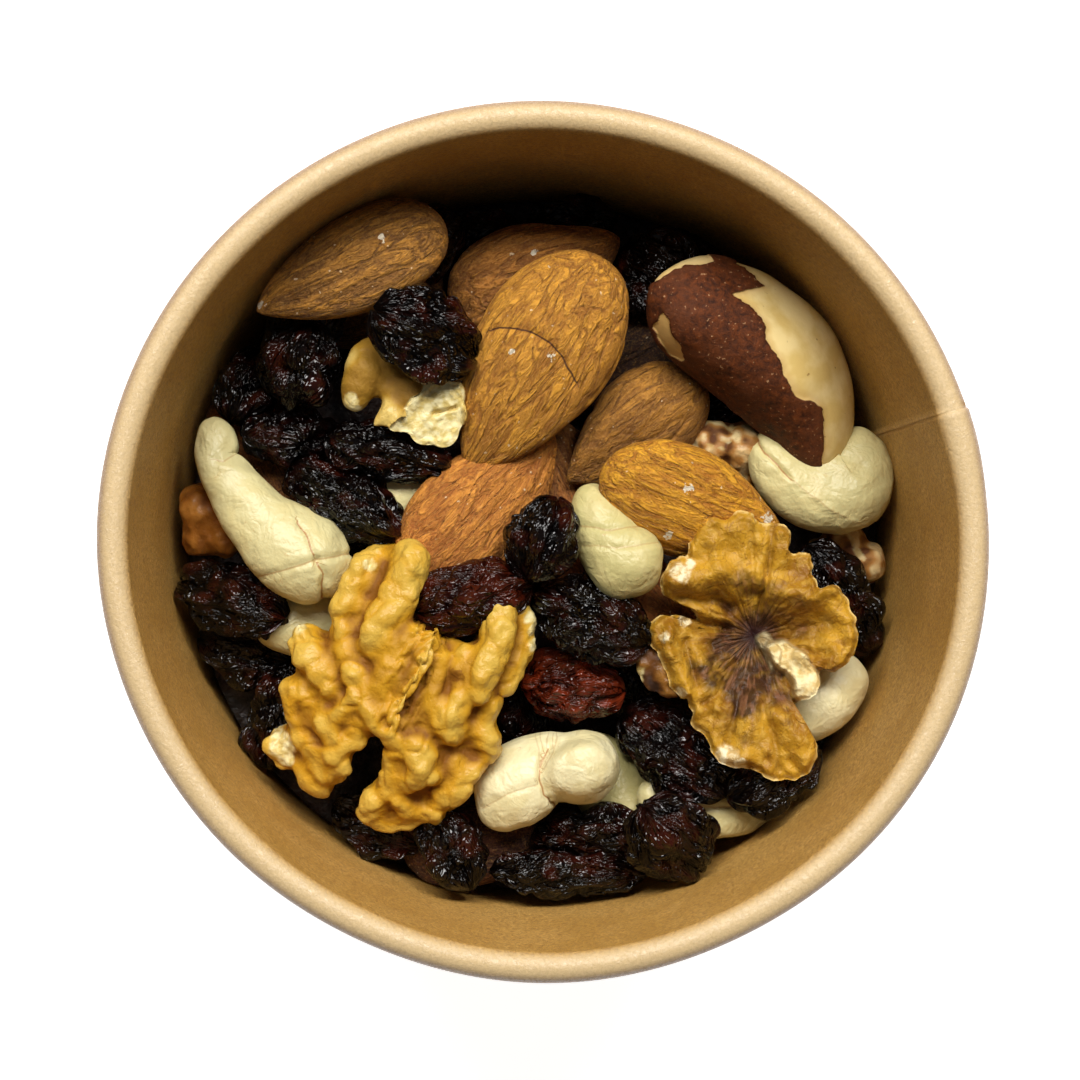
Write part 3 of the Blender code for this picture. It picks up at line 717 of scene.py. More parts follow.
# Almonds lie whole in their brown skins, which dry into fine folds that run from the blunt end to the
# point. The folds are worked in where they are broad, and are in the skin's finish where they are fine.
def ball_faces(segments, rings):
    """The four-sided and three-sided faces of that ball, facing out."""
    ring, turn = np.meshgrid(np.arange(rings - 2), np.arange(segments), indexing="ij")
    here, beside = ring * segments + turn, ring * segments + (turn + 1) % segments
    quads = np.stack([here, here + segments, beside + segments, beside], axis=-1).reshape(-1, 4)
    turn = np.arange(segments)
    after, last, pole = (turn + 1) % segments, segments * (rings - 2), segments * (rings - 1)
    near = np.stack([np.full(segments, pole), turn, after], axis=1)
    far = np.stack([np.full(segments, pole + 1), last + after, last + turn], axis=1)
    return quads, np.concatenate([near, far])


def outward(points, segments, rings):
    """Unit normals of a ball-like grid: the steps along it crossed with the steps about it."""
    grid = points[:-2].reshape(rings - 1, segments, 3)
    ends = np.repeat(points[-2:, None], segments, axis=1)
    whole = np.concatenate([ends[:1], grid, ends[1:]])
    ahead = whole[2:] - whole[:-2]
    about = np.roll(grid, -1, axis=1) - np.roll(grid, 1, axis=1)
    normal = np.cross(ahead, about).reshape(-1, 3)
    normal /= np.maximum(np.linalg.norm(normal, axis=1, keepdims=True), 1e-12)
    tips = points[-2:] - points[:-2].reshape(rings - 1, segments, 3)[[3, -4]].mean(axis=1)
    return np.concatenate([normal, tips / np.linalg.norm(tips, axis=1, keepdims=True)])


def placed(points, row, shift=(0.0, 0.0, 0.0)):
    """Points of a piece, from its own place to where that row of the layout came to rest."""
    middle, axes = rests[row]
    return points @ axes + middle + shift


def off_middle(points, row, shift=(0.0, 0.0, 0.0)):
    """How far placed points lie to the right of the piece's resting place and behind it."""
    return (placed(points, row, shift) - rests[row][0])[:, :2]


def line_distance(places, line):
    """How far each flat place is from a line of straight parts: the least over its parts."""
    least = np.full(len(places), np.inf)
    for start, end in zip(np.array(line[:-1], dtype=float), np.array(line[1:], dtype=float)):
        part = end - start
        share = np.clip((places - start) @ part / (part @ part), 0.0, 1.0)
        gap = places - start - share[:, None] * part
        least = np.minimum(least, np.hypot(gap[:, 0], gap[:, 1]))
    return least


def side_distance(places, line):
    """The distance from a line of straight parts, less than 0 to the right of the nearest part."""
    least, signed = np.full(len(places), np.inf), np.zeros(len(places))
    for start, end in zip(np.array(line[:-1], dtype=float), np.array(line[1:], dtype=float)):
        found = line_distance(places, (start, end))
        part, off = end - start, places - start
        left = np.where(part[0] * off[:, 1] - part[1] * off[:, 0] >= 0, 1.0, -1.0)
        signed = np.where(found < least, found * left, signed)
        least = np.minimum(least, found)
    return signed


def gathered(parts):
    """Several pieces' points, faces and marks as one mesh's."""
    counts = np.cumsum([0] + [len(points) for points, *_ in parts])
    points = np.concatenate([part[0] for part in parts])
    quads = np.concatenate([part[1] + start for part, start in zip(parts, counts)])
    triangles = np.concatenate([part[2] + start for part, start in zip(parts, counts)])
    marks = {name: np.concatenate([part[3][name] for part in parts]) for name in parts[0][3]}
    return points, quads, triangles, marks


# Each almond's ridge and valley colours, how fine its mesh is, how much longer and wider at the point
# it is than its solid, how its point rises, and how far it is moved for the same view as the photo's.
# The colours of rows 9 and 16, deep between other pieces, are darkened as painted shade.
ALMONDS = {
    8: ((150, 88, 30), (72, 36, 10), 60, 1.0, 0.0, 0.0, (0, 0, 0)),
    # Painted shade: this almond lies under the others by the Brazil nut, so it is coloured near black.
    9: ((72, 38, 18), (36, 18, 8), 60, 1.0, 0.0, 0.0, (0, 0, 0)),
    10: ((176, 108, 40), (96, 48, 12), 60, 1.0, 0.0, 0.0, (0, 0, 0)),
    11: ((180, 104, 40), (100, 48, 14), 72, 1.0, 0.0, 0.0, (0, 0, 0)),
    # Painted shade: this almond lies low between raisins at the front, so it is coloured near black.
    16: ((92, 44, 20), (44, 20, 8), 60, 1.0, 0.0, 0.0, (0, 0, 0)),
    24: ((140, 84, 34), (74, 38, 14), 40, 1.0, 0.0, 0.0, (0, 0, 0)),
    27: ((202, 138, 46), (76, 38, 8), 120, 0.98, 0.0, 0.0, (-1.2, 0.2, 0)),
    31: ((200, 130, 48), (108, 56, 14), 120, 0.93, 0.0, 0.0, (-0.7, 0.3, 0)),
    32: ((226, 148, 54), (150, 78, 20), 132, 1.0, 0.0, -0.10, (0, 0.1, -3.1)),
    34: ((178, 120, 36), (112, 66, 16), 120, 0.95, 0.0, 0.0, (-0.5, -0.6, -0.3)),
    54: ((244, 176, 36), (150, 78, 6), 140, 1.02, 0.0, -0.03, (0.3, -1.7, -0.3)),
    55: ((228, 160, 46), (138, 78, 16), 150, 1.05, 0.04, 0.13, (-1.9, -1.4, 1.9)),
}
TURNED_ALMOND = 34  # this one lies the other way round
# Pale nicks in the skins: x, y and radius, from the piece's resting place
ALMOND_NICKS = {
    27: ((-10.6, -4.0, 0.55), (2.2, 2.8, 0.45)),
    31: ((-1.0, 2.3, 0.4),),
    54: ((-1.0, 0.2, 0.55), (7.9, -2.9, 0.75), (-2.9, -4.6, 0.5)),
    55: ((-0.4, -1.0, 0.5), (-4.6, -0.4, 0.35)),
}
# The large almond is cracked along a line, placed as the nicks are, and one side of it has sunk
CRACKED_ALMOND = 55
CRACK = (
    (-6.6, 1.9), (-5.9, 2.1), (-3.8, 1.9), (-2.0, 1.3), (-0.7, 0.4), (0.6, -1.0), (1.5, -2.6),
    (2.2, -3.7),
)
almond_parts = []
for row, (ridge, valley, segments, longer, wider, rise, shift) in ALMONDS.items():
    size, rings = np.array(LAYOUT[row][4:]) / 2 * (longer, 1, 1), int(segments * 0.8)
    unit = ball(segments, rings)
    own = almond_form(unit, size, row)
    if row == TURNED_ALMOND:
        own[:, :2] *= -1.0
    own[:, 1] *= 1.0 + wider * ease(unit[:, 0], -0.2, 0.6)
    own[:, 2] += rise * own[:, 0]
    narrow = np.sqrt(1.0 - 0.8 * np.clip(unit[:, 0], 0, 1) ** 2)
    grain = np.column_stack([own[:, 0] * 0.26, own[:, 1:] / narrow[:, None]]) + 13.7 * row
    away = outward(own, segments, rings)
    relief = 0.36 * noise(grain / 3.3, row) - 0.20 * np.exp(-(noise(grain / 1.8, row + 40) / 0.16) ** 2)
    relief *= np.clip(1.1 - np.abs(unit[:, 0]) ** 6, 0, 1)
    own = own + away * relief[:, None]
    nicks = off_middle(own, row, shift)
    pale = np.full(len(own), 3.0)  # the distance from the nearest nick, in the nick's radii
    for x, y, reach in ALMOND_NICKS.get(row, ()):
        pale = np.minimum(pale, np.hypot(nicks[:, 0] - x, nicks[:, 1] - y) / reach + 3.0 * (unit[:, 2] < 0))
    crack, near = np.ones(len(own)), np.zeros(len(own))
    if row == CRACKED_ALMOND:
        flat = off_middle(own, row, shift) + 0.10 * noise(own / 0.9, 2)[:, None]
        crack = side_distance(flat, CRACK)
        near = ease(0.9 - np.abs(crack), 0.0, 0.3) * (unit[:, 2] > 0)
        sunken = 0.22 * np.exp(-(crack / 0.4) ** 2) + 0.16 * (crack < 0) * np.exp(-(crack / 0.5) ** 2)
        own[:, 2] -= near * sunken
    marks = {
        "grain": grain,
        "ridge": np.tile(paint(*ridge)[:3], (len(own), 1)),
        "valley": np.tile(paint(*valley)[:3], (len(own), 1)),
        "crack": crack,
        "near": near,
        "pale": pale,
    }
    almond_parts.append((placed(own, row, shift), *ball_faces(segments, rings), marks))


# Creases: a drawn-out noise whose middle values make narrow valleys between broad ridges.
creases, given, result = new_group(
    "creases",
    [("Place", "NodeSocketVector", None), ("Scale", "NodeSocketFloat", 1.0),
     ("Width", "NodeSocketFloat", 0.1), ("Waver", "NodeSocketFloat", 0.6)],
    [("Ridge", "NodeSocketFloat")],
)
links = {"Vector": given.outputs["Place"], "Scale": given.outputs["Scale"], "Detail": 2.5}
links["Distortion"] = given.outputs["Waver"]
crease_noise = shader_node(creases, "ShaderNodeTexNoise", links).outputs["Fac"]
crease_off = maths(creases, "ABSOLUTE", maths(creases, "SUBTRACT", crease_noise, 0.5))
creases.links.new(between(creases, crease_off, 0.0, given.outputs["Width"]), result.inputs["Ridge"])


def creases_of(tree, place, scale, width, waver):
    """How high each place is between the valleys of one placing of the creases group, 0 to 1."""
    made = shader_node(tree, "ShaderNodeGroup", node_tree=creases)
    tree.links.new(place, made.inputs["Place"])
    for label, value in (("Scale", scale), ("Width", width), ("Waver", waver)):
        made.inputs[label].default_value = value
    return made.outputs["Ridge"]


almond_skin, tree, shader = new_material("almond skin")
grain, where = mark(tree, "grain", "Vector"), place_in_mm(tree)
broad = creases_of(tree, grain, 0.55, 0.08, 0.8)
fine = creases_of(tree, grain, 1.5, 0.12, 1.3)
both = maths(tree, "MULTIPLY", between(tree, broad, 0, 1, 0.35, 1.0), between(tree, fine, 0, 1, 0.50, 1.0))
skin = mixed(tree, both, mark(tree, "valley", "Vector"), mark(tree, "ridge", "Vector"))
blotch = shader_noise(tree, where, 0.30, 3.0)
skin = mixed(tree, between(tree, blotch, 0.46, 0.66, 0.0, 0.28), skin, mark(tree, "valley", "Vector"))
nap = shader_noise(tree, where, 3.6, 5.0, 0.4, 0.75)
skin = mixed(tree, between(tree, nap, 0.50, 0.68, 0.0, 0.32), skin, paint(232, 176, 92))
skin = mixed(tree, between(tree, nap, 0.34, 0.50, 0.35, 0.0), skin, mark(tree, "valley", "Vector"))
dust = shader_noise(tree, where, 1.5, 1.0)
skin = mixed(tree, between(tree, dust, 0.745, 0.77, 0.0, 0.8), skin, paint(240, 214, 172))
line = between(tree, maths(tree, "ABSOLUTE", mark(tree, "crack")), 0.05, 0.16, 1.0, 0.0)
skin = mixed(tree, maths(tree, "MULTIPLY", line, mark(tree, "near")), skin, paint(84, 42, 8))
ragged = between(tree, shader_noise(tree, where, 2.2, 3.0), 0.35, 0.65, -0.45, 0.45)
nick_off = maths(tree, "ADD", mark(tree, "pale"), ragged)
skin = mixed(tree, between(tree, nick_off, 0.70, 0.85, 0.95, 0.0), skin, paint(250, 236, 208))
tree.links.new(skin, shader.inputs["Base Color"])
tree.links.new(between(tree, both, 0, 1, 0.75, 0.56), shader.inputs["Roughness"])
deep = bumped(tree, shader, broad, 0.00022)
deep = bumped(tree, shader, fine, 0.00010, deep)
bumped(tree, shader, nap, 0.00022, deep)
made_piece("almonds", *gathered(almond_parts), almond_skin, "nuts_and_raisins", "trail_mix")


# The Brazil nut is a long three-edged segment. Its brown skin has come off the back, where the cream
# flesh shows, and holds along the other side up to a ragged edge. Its form, like a cashew's, is a
# profile carried along a path that gives x, y and half the width from the piece's resting place.
BRAZIL_ROW = 56
BRAZIL_SHIFT = (-0.6, -0.6, 0.4)
BRAZIL_PATH = (
    (-12.4, 6.9, 3.0), (-11.2, 6.7, 4.2), (-9.0, 6.1, 5.2), (-5.6, 5.1, 6.1), (-1.0, 3.1, 6.8),
    (3.1, 0.5, 6.95), (5.9, -2.6, 6.2), (7.6, -5.8, 5.0), (8.4, -8.6, 4.0), (8.9, -11.0, 3.0),
)
# The outline of the skin that holds, and the two places in it where it has come off
SKIN_EDGE = (
    (-1.9, 10.8), (0.2, 8.9), (1.0, 8.3), (-2.2, 7.4), (-2.9, 7.2), (-0.6, 5.6), (0.6, 4.0),
    (0.7, 2.5), (2.2, 0.6), (2.6, -0.9), (3.2, -2.0), (4.2, -3.2), (5.7, -3.6), (7.1, -4.6),
    (7.6, -6.6), (7.5, -10.6), (7.2, -14.0), (-16.0, -14.0), (-16.0, 16.0), (-1.9, 16.0),
)
SKIN_GAP = (
    (-10.9, 4.0), (-10.0, 5.2), (-9.6, 4.6), (-9.5, 3.6), (-9.0, 2.8), (-8.2, 1.9), (-7.2, 0.6),
    (-7.8, 0.4), (-8.9, 1.2), (-10.1, 2.7),
)
SKIN_SLIVER = (
    (-13.0, 6.6), (-11.3, 8.2), (-9.4, 9.5), (-7.2, 10.4), (-4.8, 10.9), (-5.0, 13.0), (-14.0, 12.0),
)


def smooth_path(stations, share):
    """A smooth curve through the stations, read at shares of its length from 0 to 1: between two
    stations it is the cubic that leaves each in the direction of its neighbours."""
    rows = np.array(stations, dtype=float)
    padded = np.concatenate([2 * rows[:1] - rows[1:2], rows, 2 * rows[-1:] - rows[-2:-1]])
    fine = np.linspace(0, len(rows) - 1, 30 * len(rows))
    k = np.minimum(fine.astype(int), len(rows) - 2)
    t = (fine - k)[:, None]
    a, b, c, d = (padded[k + step] for step in range(4))
    curve = 0.5 * (2 * b + (c - a) * t + (2 * a - 5 * b + 4 * c - d) * t**2 + (3 * b - a - 3 * c + d) * t**3)
    reach = np.concatenate([[0.0], np.cumsum(np.hypot(*np.diff(curve[:, :2], axis=0).T))])
    return np.stack([np.interp(share * reach[-1], reach, curve[:, n]) for n in range(rows.shape[1])], axis=1)


def carried(stations, unit, row, tall, blunt, edge=None):
    """The unit ball's rings carried along a path, at the half-widths that it gives, as a piece of that
    row. Rings shrink towards the ends as the square root of 1 - |x|^blunt. Tall is the height's share
    of the width, and edge gives how far each direction about the path stands out."""
    share = (1.0 - unit[:, 0]) / 2
    found, ahead = smooth_path(stations, share), smooth_path(stations, np.minimum(share + 0.01, 1.0))
    behind = smooth_path(stations, np.maximum(share - 0.01, 0.0))
    heading = (ahead - behind)[:, :2]
    heading /= np.hypot(heading[:, 0], heading[:, 1])[:, None]
    side = np.stack([heading[:, 1], -heading[:, 0]], axis=1)
    girth = unit[:, 1:] / np.maximum(np.hypot(unit[:, 1], unit[:, 2]), 1e-9)[:, None]
    full = np.sqrt(np.clip(1 - np.abs(unit[:, 0]) ** blunt, 0, 1)) * found[:, 2]
    if edge is not None:
        full = full * edge(np.arctan2(girth[:, 1], girth[:, 0]))
    flat = found[:, :2] + side * (girth[:, 0] * full)[:, None]
    c, s = math.cos(math.radians(LAYOUT[row][3])), math.sin(math.radians(LAYOUT[row][3]))
    turned = np.stack([flat[:, 0] * c + flat[:, 1] * s, flat[:, 1] * c - flat[:, 0] * s], axis=1)
    return np.column_stack([turned, girth[:, 1] * full * tall])


def depth_inside(places, outline):
    """How far each flat place is inside a closed outline, less than 0 outside it: the distance from
    the outline, with the sign of how often the outline goes round the place."""
    corners = np.array(outline, dtype=float)
    turns = np.zeros(len(places))
    for start, end in zip(corners, np.roll(corners, -1, axis=0)):
        a, b = start - places, end - places
        turns += np.arctan2(a[:, 0] * b[:, 1] - a[:, 1] * b[:, 0], (a * b).sum(axis=1))
    distance = line_distance(places, [*outline, outline[0]])
    return np.where(np.abs(turns) > math.pi, distance, -distance)


segments, rings = 170, 130
unit = ball(segments, rings)
own = carried(BRAZIL_PATH, unit, BRAZIL_ROW, 0.80, 8.0, lambda a: 1.0 + 0.08 * np.cos(3 * (a + 0.9)))
away = outward(own, segments, rings)
flat = off_middle(own, BRAZIL_ROW)
ragged = 0.30 * noise(own / 1.6, 5) + 0.16 * noise(own / 0.6, 6)
skin_in = depth_inside(flat, SKIN_EDGE) + ragged
skin_in = np.minimum(skin_in, -depth_inside(flat, SKIN_GAP) + ragged)
skin_in = np.minimum(skin_in, -depth_inside(flat, SKIN_SLIVER) + ragged)
covered = ease(skin_in, -0.10, 0.10)
relief = 0.16 * noise(own / 3.4, 7) + 0.07 * noise(own / 1.3, 8) * covered + 0.24 * covered
own = own + away * relief[:, None]
brazil_marks = {"skin_in": np.clip(skin_in, -3, 3), "tan": ease(depth_inside(flat, SKIN_GAP), -1.6, -0.8)}

brazil_finish, tree, shader = new_material("brazil nut")
where = place_in_mm(tree)
hide = shader_noise(tree, where, 1.3, 6.0, 0.4, 0.75)
skin = mixed(tree, between(tree, hide, 0.38, 0.64), paint(50, 20, 3), paint(104, 50, 14))
patches = between(tree, shader_noise(tree, where, 0.22, 2.0), 0.46, 0.60, 0.0, 0.5)
skin = mixed(tree, patches, skin, paint(92, 48, 22))
flecks = between(tree, shader_noise(tree, where, 2.6, 3.0), 0.66, 0.72, 0.0, 0.7)
skin = mixed(tree, flecks, skin, paint(188, 146, 104))
cloud = between(tree, shader_noise(tree, where, 0.30, 3.0), 0.4, 0.6)
flesh = mixed(tree, cloud, paint(214, 184, 112), paint(228, 204, 142))
pits = shader_noise(tree, where, 1.1, 1.0)
flesh = mixed(tree, between(tree, pits, 0.74, 0.78, 0.0, 0.7), flesh, paint(128, 84, 40))
rind = between(tree, mark(tree, "skin_in"), -0.9, 0.0, 0.0, 0.35)
flesh = mixed(tree, rind, flesh, paint(176, 122, 66))
flesh = mixed(tree, mark(tree, "tan"), flesh, paint(190, 152, 90))
on_skin = between(tree, mark(tree, "skin_in"), -0.05, 0.05)
tree.links.new(mixed(tree, on_skin, flesh, skin), shader.inputs["Base Color"])
tree.links.new(between(tree, on_skin, 0, 1, 0.38, 0.66), shader.inputs["Roughness"])
shader.inputs["Specular IOR Level"].default_value = 0.24
deep = bumped(tree, shader, maths(tree, "MULTIPLY", hide, on_skin), 0.00022)
bumped(tree, shader, shader_noise(tree, where, 1.6, 3.0), 0.00005, deep)
made_piece("brazil_nut", placed(own, BRAZIL_ROW, BRAZIL_SHIFT), *ball_faces(segments, rings), brazil_marks,
           brazil_finish, "nuts_and_raisins", "trail_mix")


# Cashews are smooth, cream and kidney-shaped, with a fine seam along the back where the two halves
# meet. Each row gives how fine the mesh is, how tall the piece is for its width, its path as x, y and
# half the width, and its grooves, each with its depth, its breadth and its line.
CASHEWS = {
    12: (40, 0.8, ((-7.4, -2.4, 2.6), (-3.0, -1.0, 4.0), (2.0, 0.4, 4.2), (6.6, 2.6, 3.0)), ()),
    13: (40, 0.8, ((-6.0, -3.4, 2.8), (-2.0, 0.4, 4.0), (2.0, 2.0, 4.0), (6.0, 1.4, 2.6)), ()),
    17: (
        80, 0.85,
        ((-4.6, 6.6, 2.2), (-2.0, 3.0, 3.8), (0.4, -0.6, 4.4), (1.6, -4.0, 4.0), (1.0, -7.0, 2.6)),
        (),
    ),
    18: (
        80, 0.8,
        ((-8.6, 1.0, 2.4), (-3.6, -0.4, 3.0), (1.6, -1.4, 2.8), (5.4, -0.8, 1.9), (7.4, 0.2, 0.7)),
        ((0.20, 0.25, ((-6.0, 0.8), (0.0, -0.6), (6.0, -0.2))),),
    ),
    35: (
        110, 0.80,
        ((-5.1, 6.3, 1.6), (-5.1, 3.9, 2.5), (-4.2, 1.5, 3.3), (-2.0, -0.4, 4.0), (1.2, -0.9, 4.7),
         (3.6, -0.4, 4.9), (4.6, 1.2, 4.4), (4.8, 3.2, 3.8), (4.7, 4.8, 3.2), (4.6, 6.2, 2.2)),
        ((0.46, 0.22, ((-7.1, 6.1), (-6.7, 4.2), (-5.5, 2.6), (-3.9, 1.0), (-3.0, 0.2))),
         (-0.14, 0.24, ((-3.0, 0.2), (-1.8, -0.9), (0.7, -2.7), (3.2, -4.0), (5.8, -4.9)))),
    ),
    36: (
        110, 0.95,
        ((-3.0, 6.0, 1.9), (-2.8, 4.4, 2.4), (-2.2, 2.2, 3.0), (-1.1, -0.1, 3.7), (0.6, -2.3, 4.2),
         (2.0, -3.9, 3.9), (3.3, -5.4, 2.6)),
        ((0.22, 0.35, ((-4.6, 1.4), (-1.0, 0.8), (2.2, 1.6))),
         (0.16, 0.30, ((-4.0, -0.8), (0.0, -1.0), (4.0, -0.4)))),
    ),
    38: (
        90, 0.9,
        ((4.0, 3.9, 2.0), (3.1, 1.8, 3.1), (1.4, -0.3, 3.7), (-1.2, -2.2, 3.5), (-4.0, -3.4, 2.6)),
        (),
    ),
    57: (
        126, 0.84,
        ((-6.0, 11.2, 2.5), (-6.0, 10.0, 2.7), (-5.9, 8.2, 2.6), (-6.0, 6.4, 2.3), (-4.5, 4.3, 2.7),
         (-2.9, 1.8, 3.3), (-1.0, -0.7, 3.9), (1.7, -2.9, 4.8), (4.4, -4.4, 5.2), (6.8, -5.5, 4.4),
         (8.4, -6.3, 3.0)),
        ((0.45, 0.16, ((2.9, -0.1), (3.9, -1.6), (4.6, -3.8))),
         (0.55, 0.42, ((4.9, -4.3), (5.7, -6.0), (5.5, -8.6))),
         (0.28, 0.30, ((4.9, -4.3), (1.8, -5.4), (-2.2, -6.4))),
         (0.26, 0.30, ((4.9, -4.3), (7.0, -3.9), (9.2, -3.4))),
         (0.22, 0.35, ((-5.9, 6.4), (-5.0, 6.2), (-4.0, 6.9)))),
    ),
    58: (
        120, 0.9,
        ((-6.6, -4.4, 2.4), (-5.4, -3.2, 3.4), (-4.0, -1.7, 4.2), (-2.0, 0.2, 4.4), (0.3, 1.4, 3.9),
         (2.3, 1.6, 3.8), (4.5, 1.4, 4.2), (6.4, 1.2, 4.0), (8.2, 1.0, 2.9)),
        ((0.55, 0.32, ((0.4, 3.8), (-0.3, 2.2), (-0.5, 0.6), (0.1, -1.4), (1.6, -2.9), (3.6, -3.4))),
         (0.16, 0.40, ((-6.6, -2.8), (-3.8, -1.1), (-0.6, -0.1))),
         (0.20, 0.22, ((0.4, 4.8), (0.2, 3.2), (-0.3, 1.6))),
         (0.18, 0.20, ((1.4, 4.9), (1.0, 3.2), (0.0, 1.4))),
         (0.14, 0.20, ((-0.8, 4.6), (-0.5, 3.0), (-0.4, 1.2)))),
    ),
}
CUT_ACROSS = 58  # the end of this one is cut across, and domed
# Where a piece's end was snapped off: the way that each flat face looks, and its distance from the middle
SNAPPED = {57: (((-0.35, 0.94, 0.1), 12.4), ((-0.7, 0.1, 0.7), 6.6), ((0.55, 0.15, 0.8), -0.6))}


def trimmed(points, facing, reach, where=True):
    """Points past a flat plane, moved straight back onto it."""
    facing = np.array(facing, dtype=float) / np.linalg.norm(facing)
    past = np.maximum(points @ facing - reach, 0.0) * where
    return points - past[:, None] * facing


# Each cashew's tone differs. Row 38's is paler partly as painted light, brightening it in the shade under the
# open walnut.
CASHEW_TONES = {17: 0.0, 35: 0.22, 36: 0.06, 38: 0.75, 57: 0.34, 58: 0.80}  # from greenish to pale cream
cashew_parts = []
for row, (segments, tall, path, grooves) in CASHEWS.items():
    rings = int(segments * 0.85)
    unit = ball(segments, rings)
    own = carried(path, unit, row, tall, 6.0)
    upper = ease(unit[:, 2] / np.maximum(np.hypot(unit[:, 1], unit[:, 2]), 1e-9), 0.0, 0.6)
    away = outward(own, segments, rings)
    relief = 0.26 * noise(own / 3.6, row) + 0.10 * noise(own / 1.5, row + 9)
    seam, near = np.ones(len(own)), np.zeros(len(own))
    flat = off_middle(own, row) + 0.10 * noise(own / 0.9, row + 4)[:, None]
    for depth, breadth, line in grooves:
        reach = side_distance(flat, line)
        groove = np.exp(-(reach / breadth) ** 2) * ease(unit[:, 2], -0.3, 0.1)
        relief -= depth * groove
        closer = np.abs(reach) < np.abs(seam)
        seam = np.where(closer, reach, seam)
        near = np.where(closer, ease(0.8 - np.abs(reach), 0.0, 0.3) * min(0.9, abs(depth) * 2.0), near)
    own = own + away * relief[:, None]
    if row == CUT_ACROSS:
        knob = 1.0 - ease(np.hypot((flat[:, 0] - 4.5) / 1.1, flat[:, 1] - 0.8), 2.6, 4.4)
        own[:, 2] += 1.7 * knob * upper
    spots = placed(own, row) - rests[row][0]
    for facing, reach in SNAPPED.get(row, ()):
        spots = trimmed(spots, facing, reach, ease(spots[:, 1] + 0.3 * spots[:, 0], 4.0, 6.0))
    marks = {
        "grain": own + 9.1 * row,
        "seam": seam,
        "near": near,
        "tone": np.full(len(own), CASHEW_TONES.get(row, 0.3)),
    }
    cashew_parts.append((spots + rests[row][0], *ball_faces(segments, rings), marks))

cashew_finish, tree, shader = new_material("cashew")
grain, where = mark(tree, "grain", "Vector"), place_in_mm(tree)
cream = mixed(tree, mark(tree, "tone"), paint(192, 180, 118), paint(232, 222, 180))
cloud = between(tree, shader_noise(tree, where, 0.30, 4.0, 0.6), 0.44, 0.60, 0.0, 0.50)
cream = mixed(tree, cloud, cream, paint(206, 190, 132))
line = between(tree, maths(tree, "ABSOLUTE", mark(tree, "seam")), 0.04, 0.14, 1.0, 0.0)
cream = mixed(tree, maths(tree, "MULTIPLY", line, mark(tree, "near")), cream, paint(160, 112, 62))
scratch = lines_of(tree, grain, 0.5, 0.012, 0.60)
cream = mixed(tree, maths(tree, "MULTIPLY", scratch, 0.5), cream, paint(184, 136, 84))
tree.links.new(cream, shader.inputs["Base Color"])
shader.inputs["Roughness"].default_value = 0.42
ripple = shader_noise(tree, grain, 0.35, 2.0, 0.4)
deep = bumped(tree, shader, ripple, 0.00040)
deep = bumped(tree, shader, creases_of(tree, grain, 0.45, 0.16, 0.8), 0.00005, deep)
bumped(tree, shader, shader_noise(tree, where, 2.8, 3.0), 0.00006, deep)
made_piece("cashews", *gathered(cashew_parts), cashew_finish, "nuts_and_raisins", "trail_mix")


# Raisins dry into deep folds with finer wrinkles between them, nearly black and a little oily, so
# that each fold catches its own small light. Two in the middle are redder. Some are moved for the same
# view as the photo's.
RAISIN_SHIFTS = {48: (0.0, 0.0, -1.8), 53: (0.2, 0.0, 1.0), 51: (-0.2, -1.2, 0.0), 41: (-1.3, -0.7, -0.3)}


def grain_of(unit, size, seed, stretch):
    """Where each point is across and along the piece, in millimetres, as if it didn't taper. The
    length counts for the stretch times itself, so a pattern on it is drawn out lengthwise."""
    girth = unit[:, 1:] / np.maximum(np.hypot(unit[:, 1], unit[:, 2]), 1e-9)[:, None]
    across = girth * size[1:]
    return np.column_stack([unit[:, 0] * size[0] * stretch, across]) + 13.7 * seed


def raisin_part(row, segments, rings):
    """One raisin: the folded form with ridges between sharp valleys, the size of |noise|, on it."""
    size = np.array(LAYOUT[row][4:]) / 2
    unit = ball(segments, rings)
    own = raisin_form(unit, size, row)
    away = outward(own, segments, rings)
    grain = grain_of(unit, size, row, 0.55)
    sway = grain + 0.8 * noise(grain / 2.5, row + 70)[:, None]
    relief = 1.5 * np.abs(noise(sway / 2.1, row)) + 0.75 * np.abs(noise(sway / 0.95, row + 30)) - 0.75
    relief *= 1 - 0.5 * ease(np.abs(unit[:, 0]), 0.85, 1.0)
    own = own + away * relief[:, None]
    marks = {"grain": grain, "height": relief, "red": np.full(len(own), 0.28 if row == 48 else 1.0)}
    return placed(own, row, RAISIN_SHIFTS.get(row, (0, 0, 0))), *ball_faces(segments, rings), marks


RED_RAISINS = (48, 53)
RAISINS = [row for row, piece in enumerate(LAYOUT) if piece[0] == "raisin" and row not in RED_RAISINS]
dark_parts = []
for row in RAISINS:
    little_shows = row <= 18 or row in (25, 26)
    dark_parts.append(raisin_part(row, *((36, 30) if little_shows else (66, 54))))
red_parts = [raisin_part(row, 120, 100) for row in RED_RAISINS]


def raisin_finish(name, low, high, tint):
    """The skin of a raisin: its valleys' and its ridges' colour, and a tint where it is thin."""
    material, tree, shader = new_material(name)
    grain, where = mark(tree, "grain", "Vector"), place_in_mm(tree)
    skin = mixed(tree, between(tree, mark(tree, "height"), -0.5, 0.7), low, high)
    thin = shader_noise(tree, where, 0.30, 2.0)
    skin = mixed(tree, between(tree, thin, 0.50, 0.66, 0.0, 0.8), skin, tint)
    skin = mixed(tree, mark(tree, "red"), paint(8, 3, 3), skin)
    tree.links.new(skin, shader.inputs["Base Color"])
    wrinkle = creases_of(tree, grain, 0.6, 0.22, 1.4)
    finer = shader_noise(tree, grain, 0.8, 1.0, 1.8)
    shader.inputs["Roughness"].default_value = 0.09
    shader.inputs["Specular IOR Level"].default_value = 0.34
    deep = bumped(tree, shader, wrinkle, 0.00050)
    bumped(tree, shader, finer, 0.00044, deep)
    return material


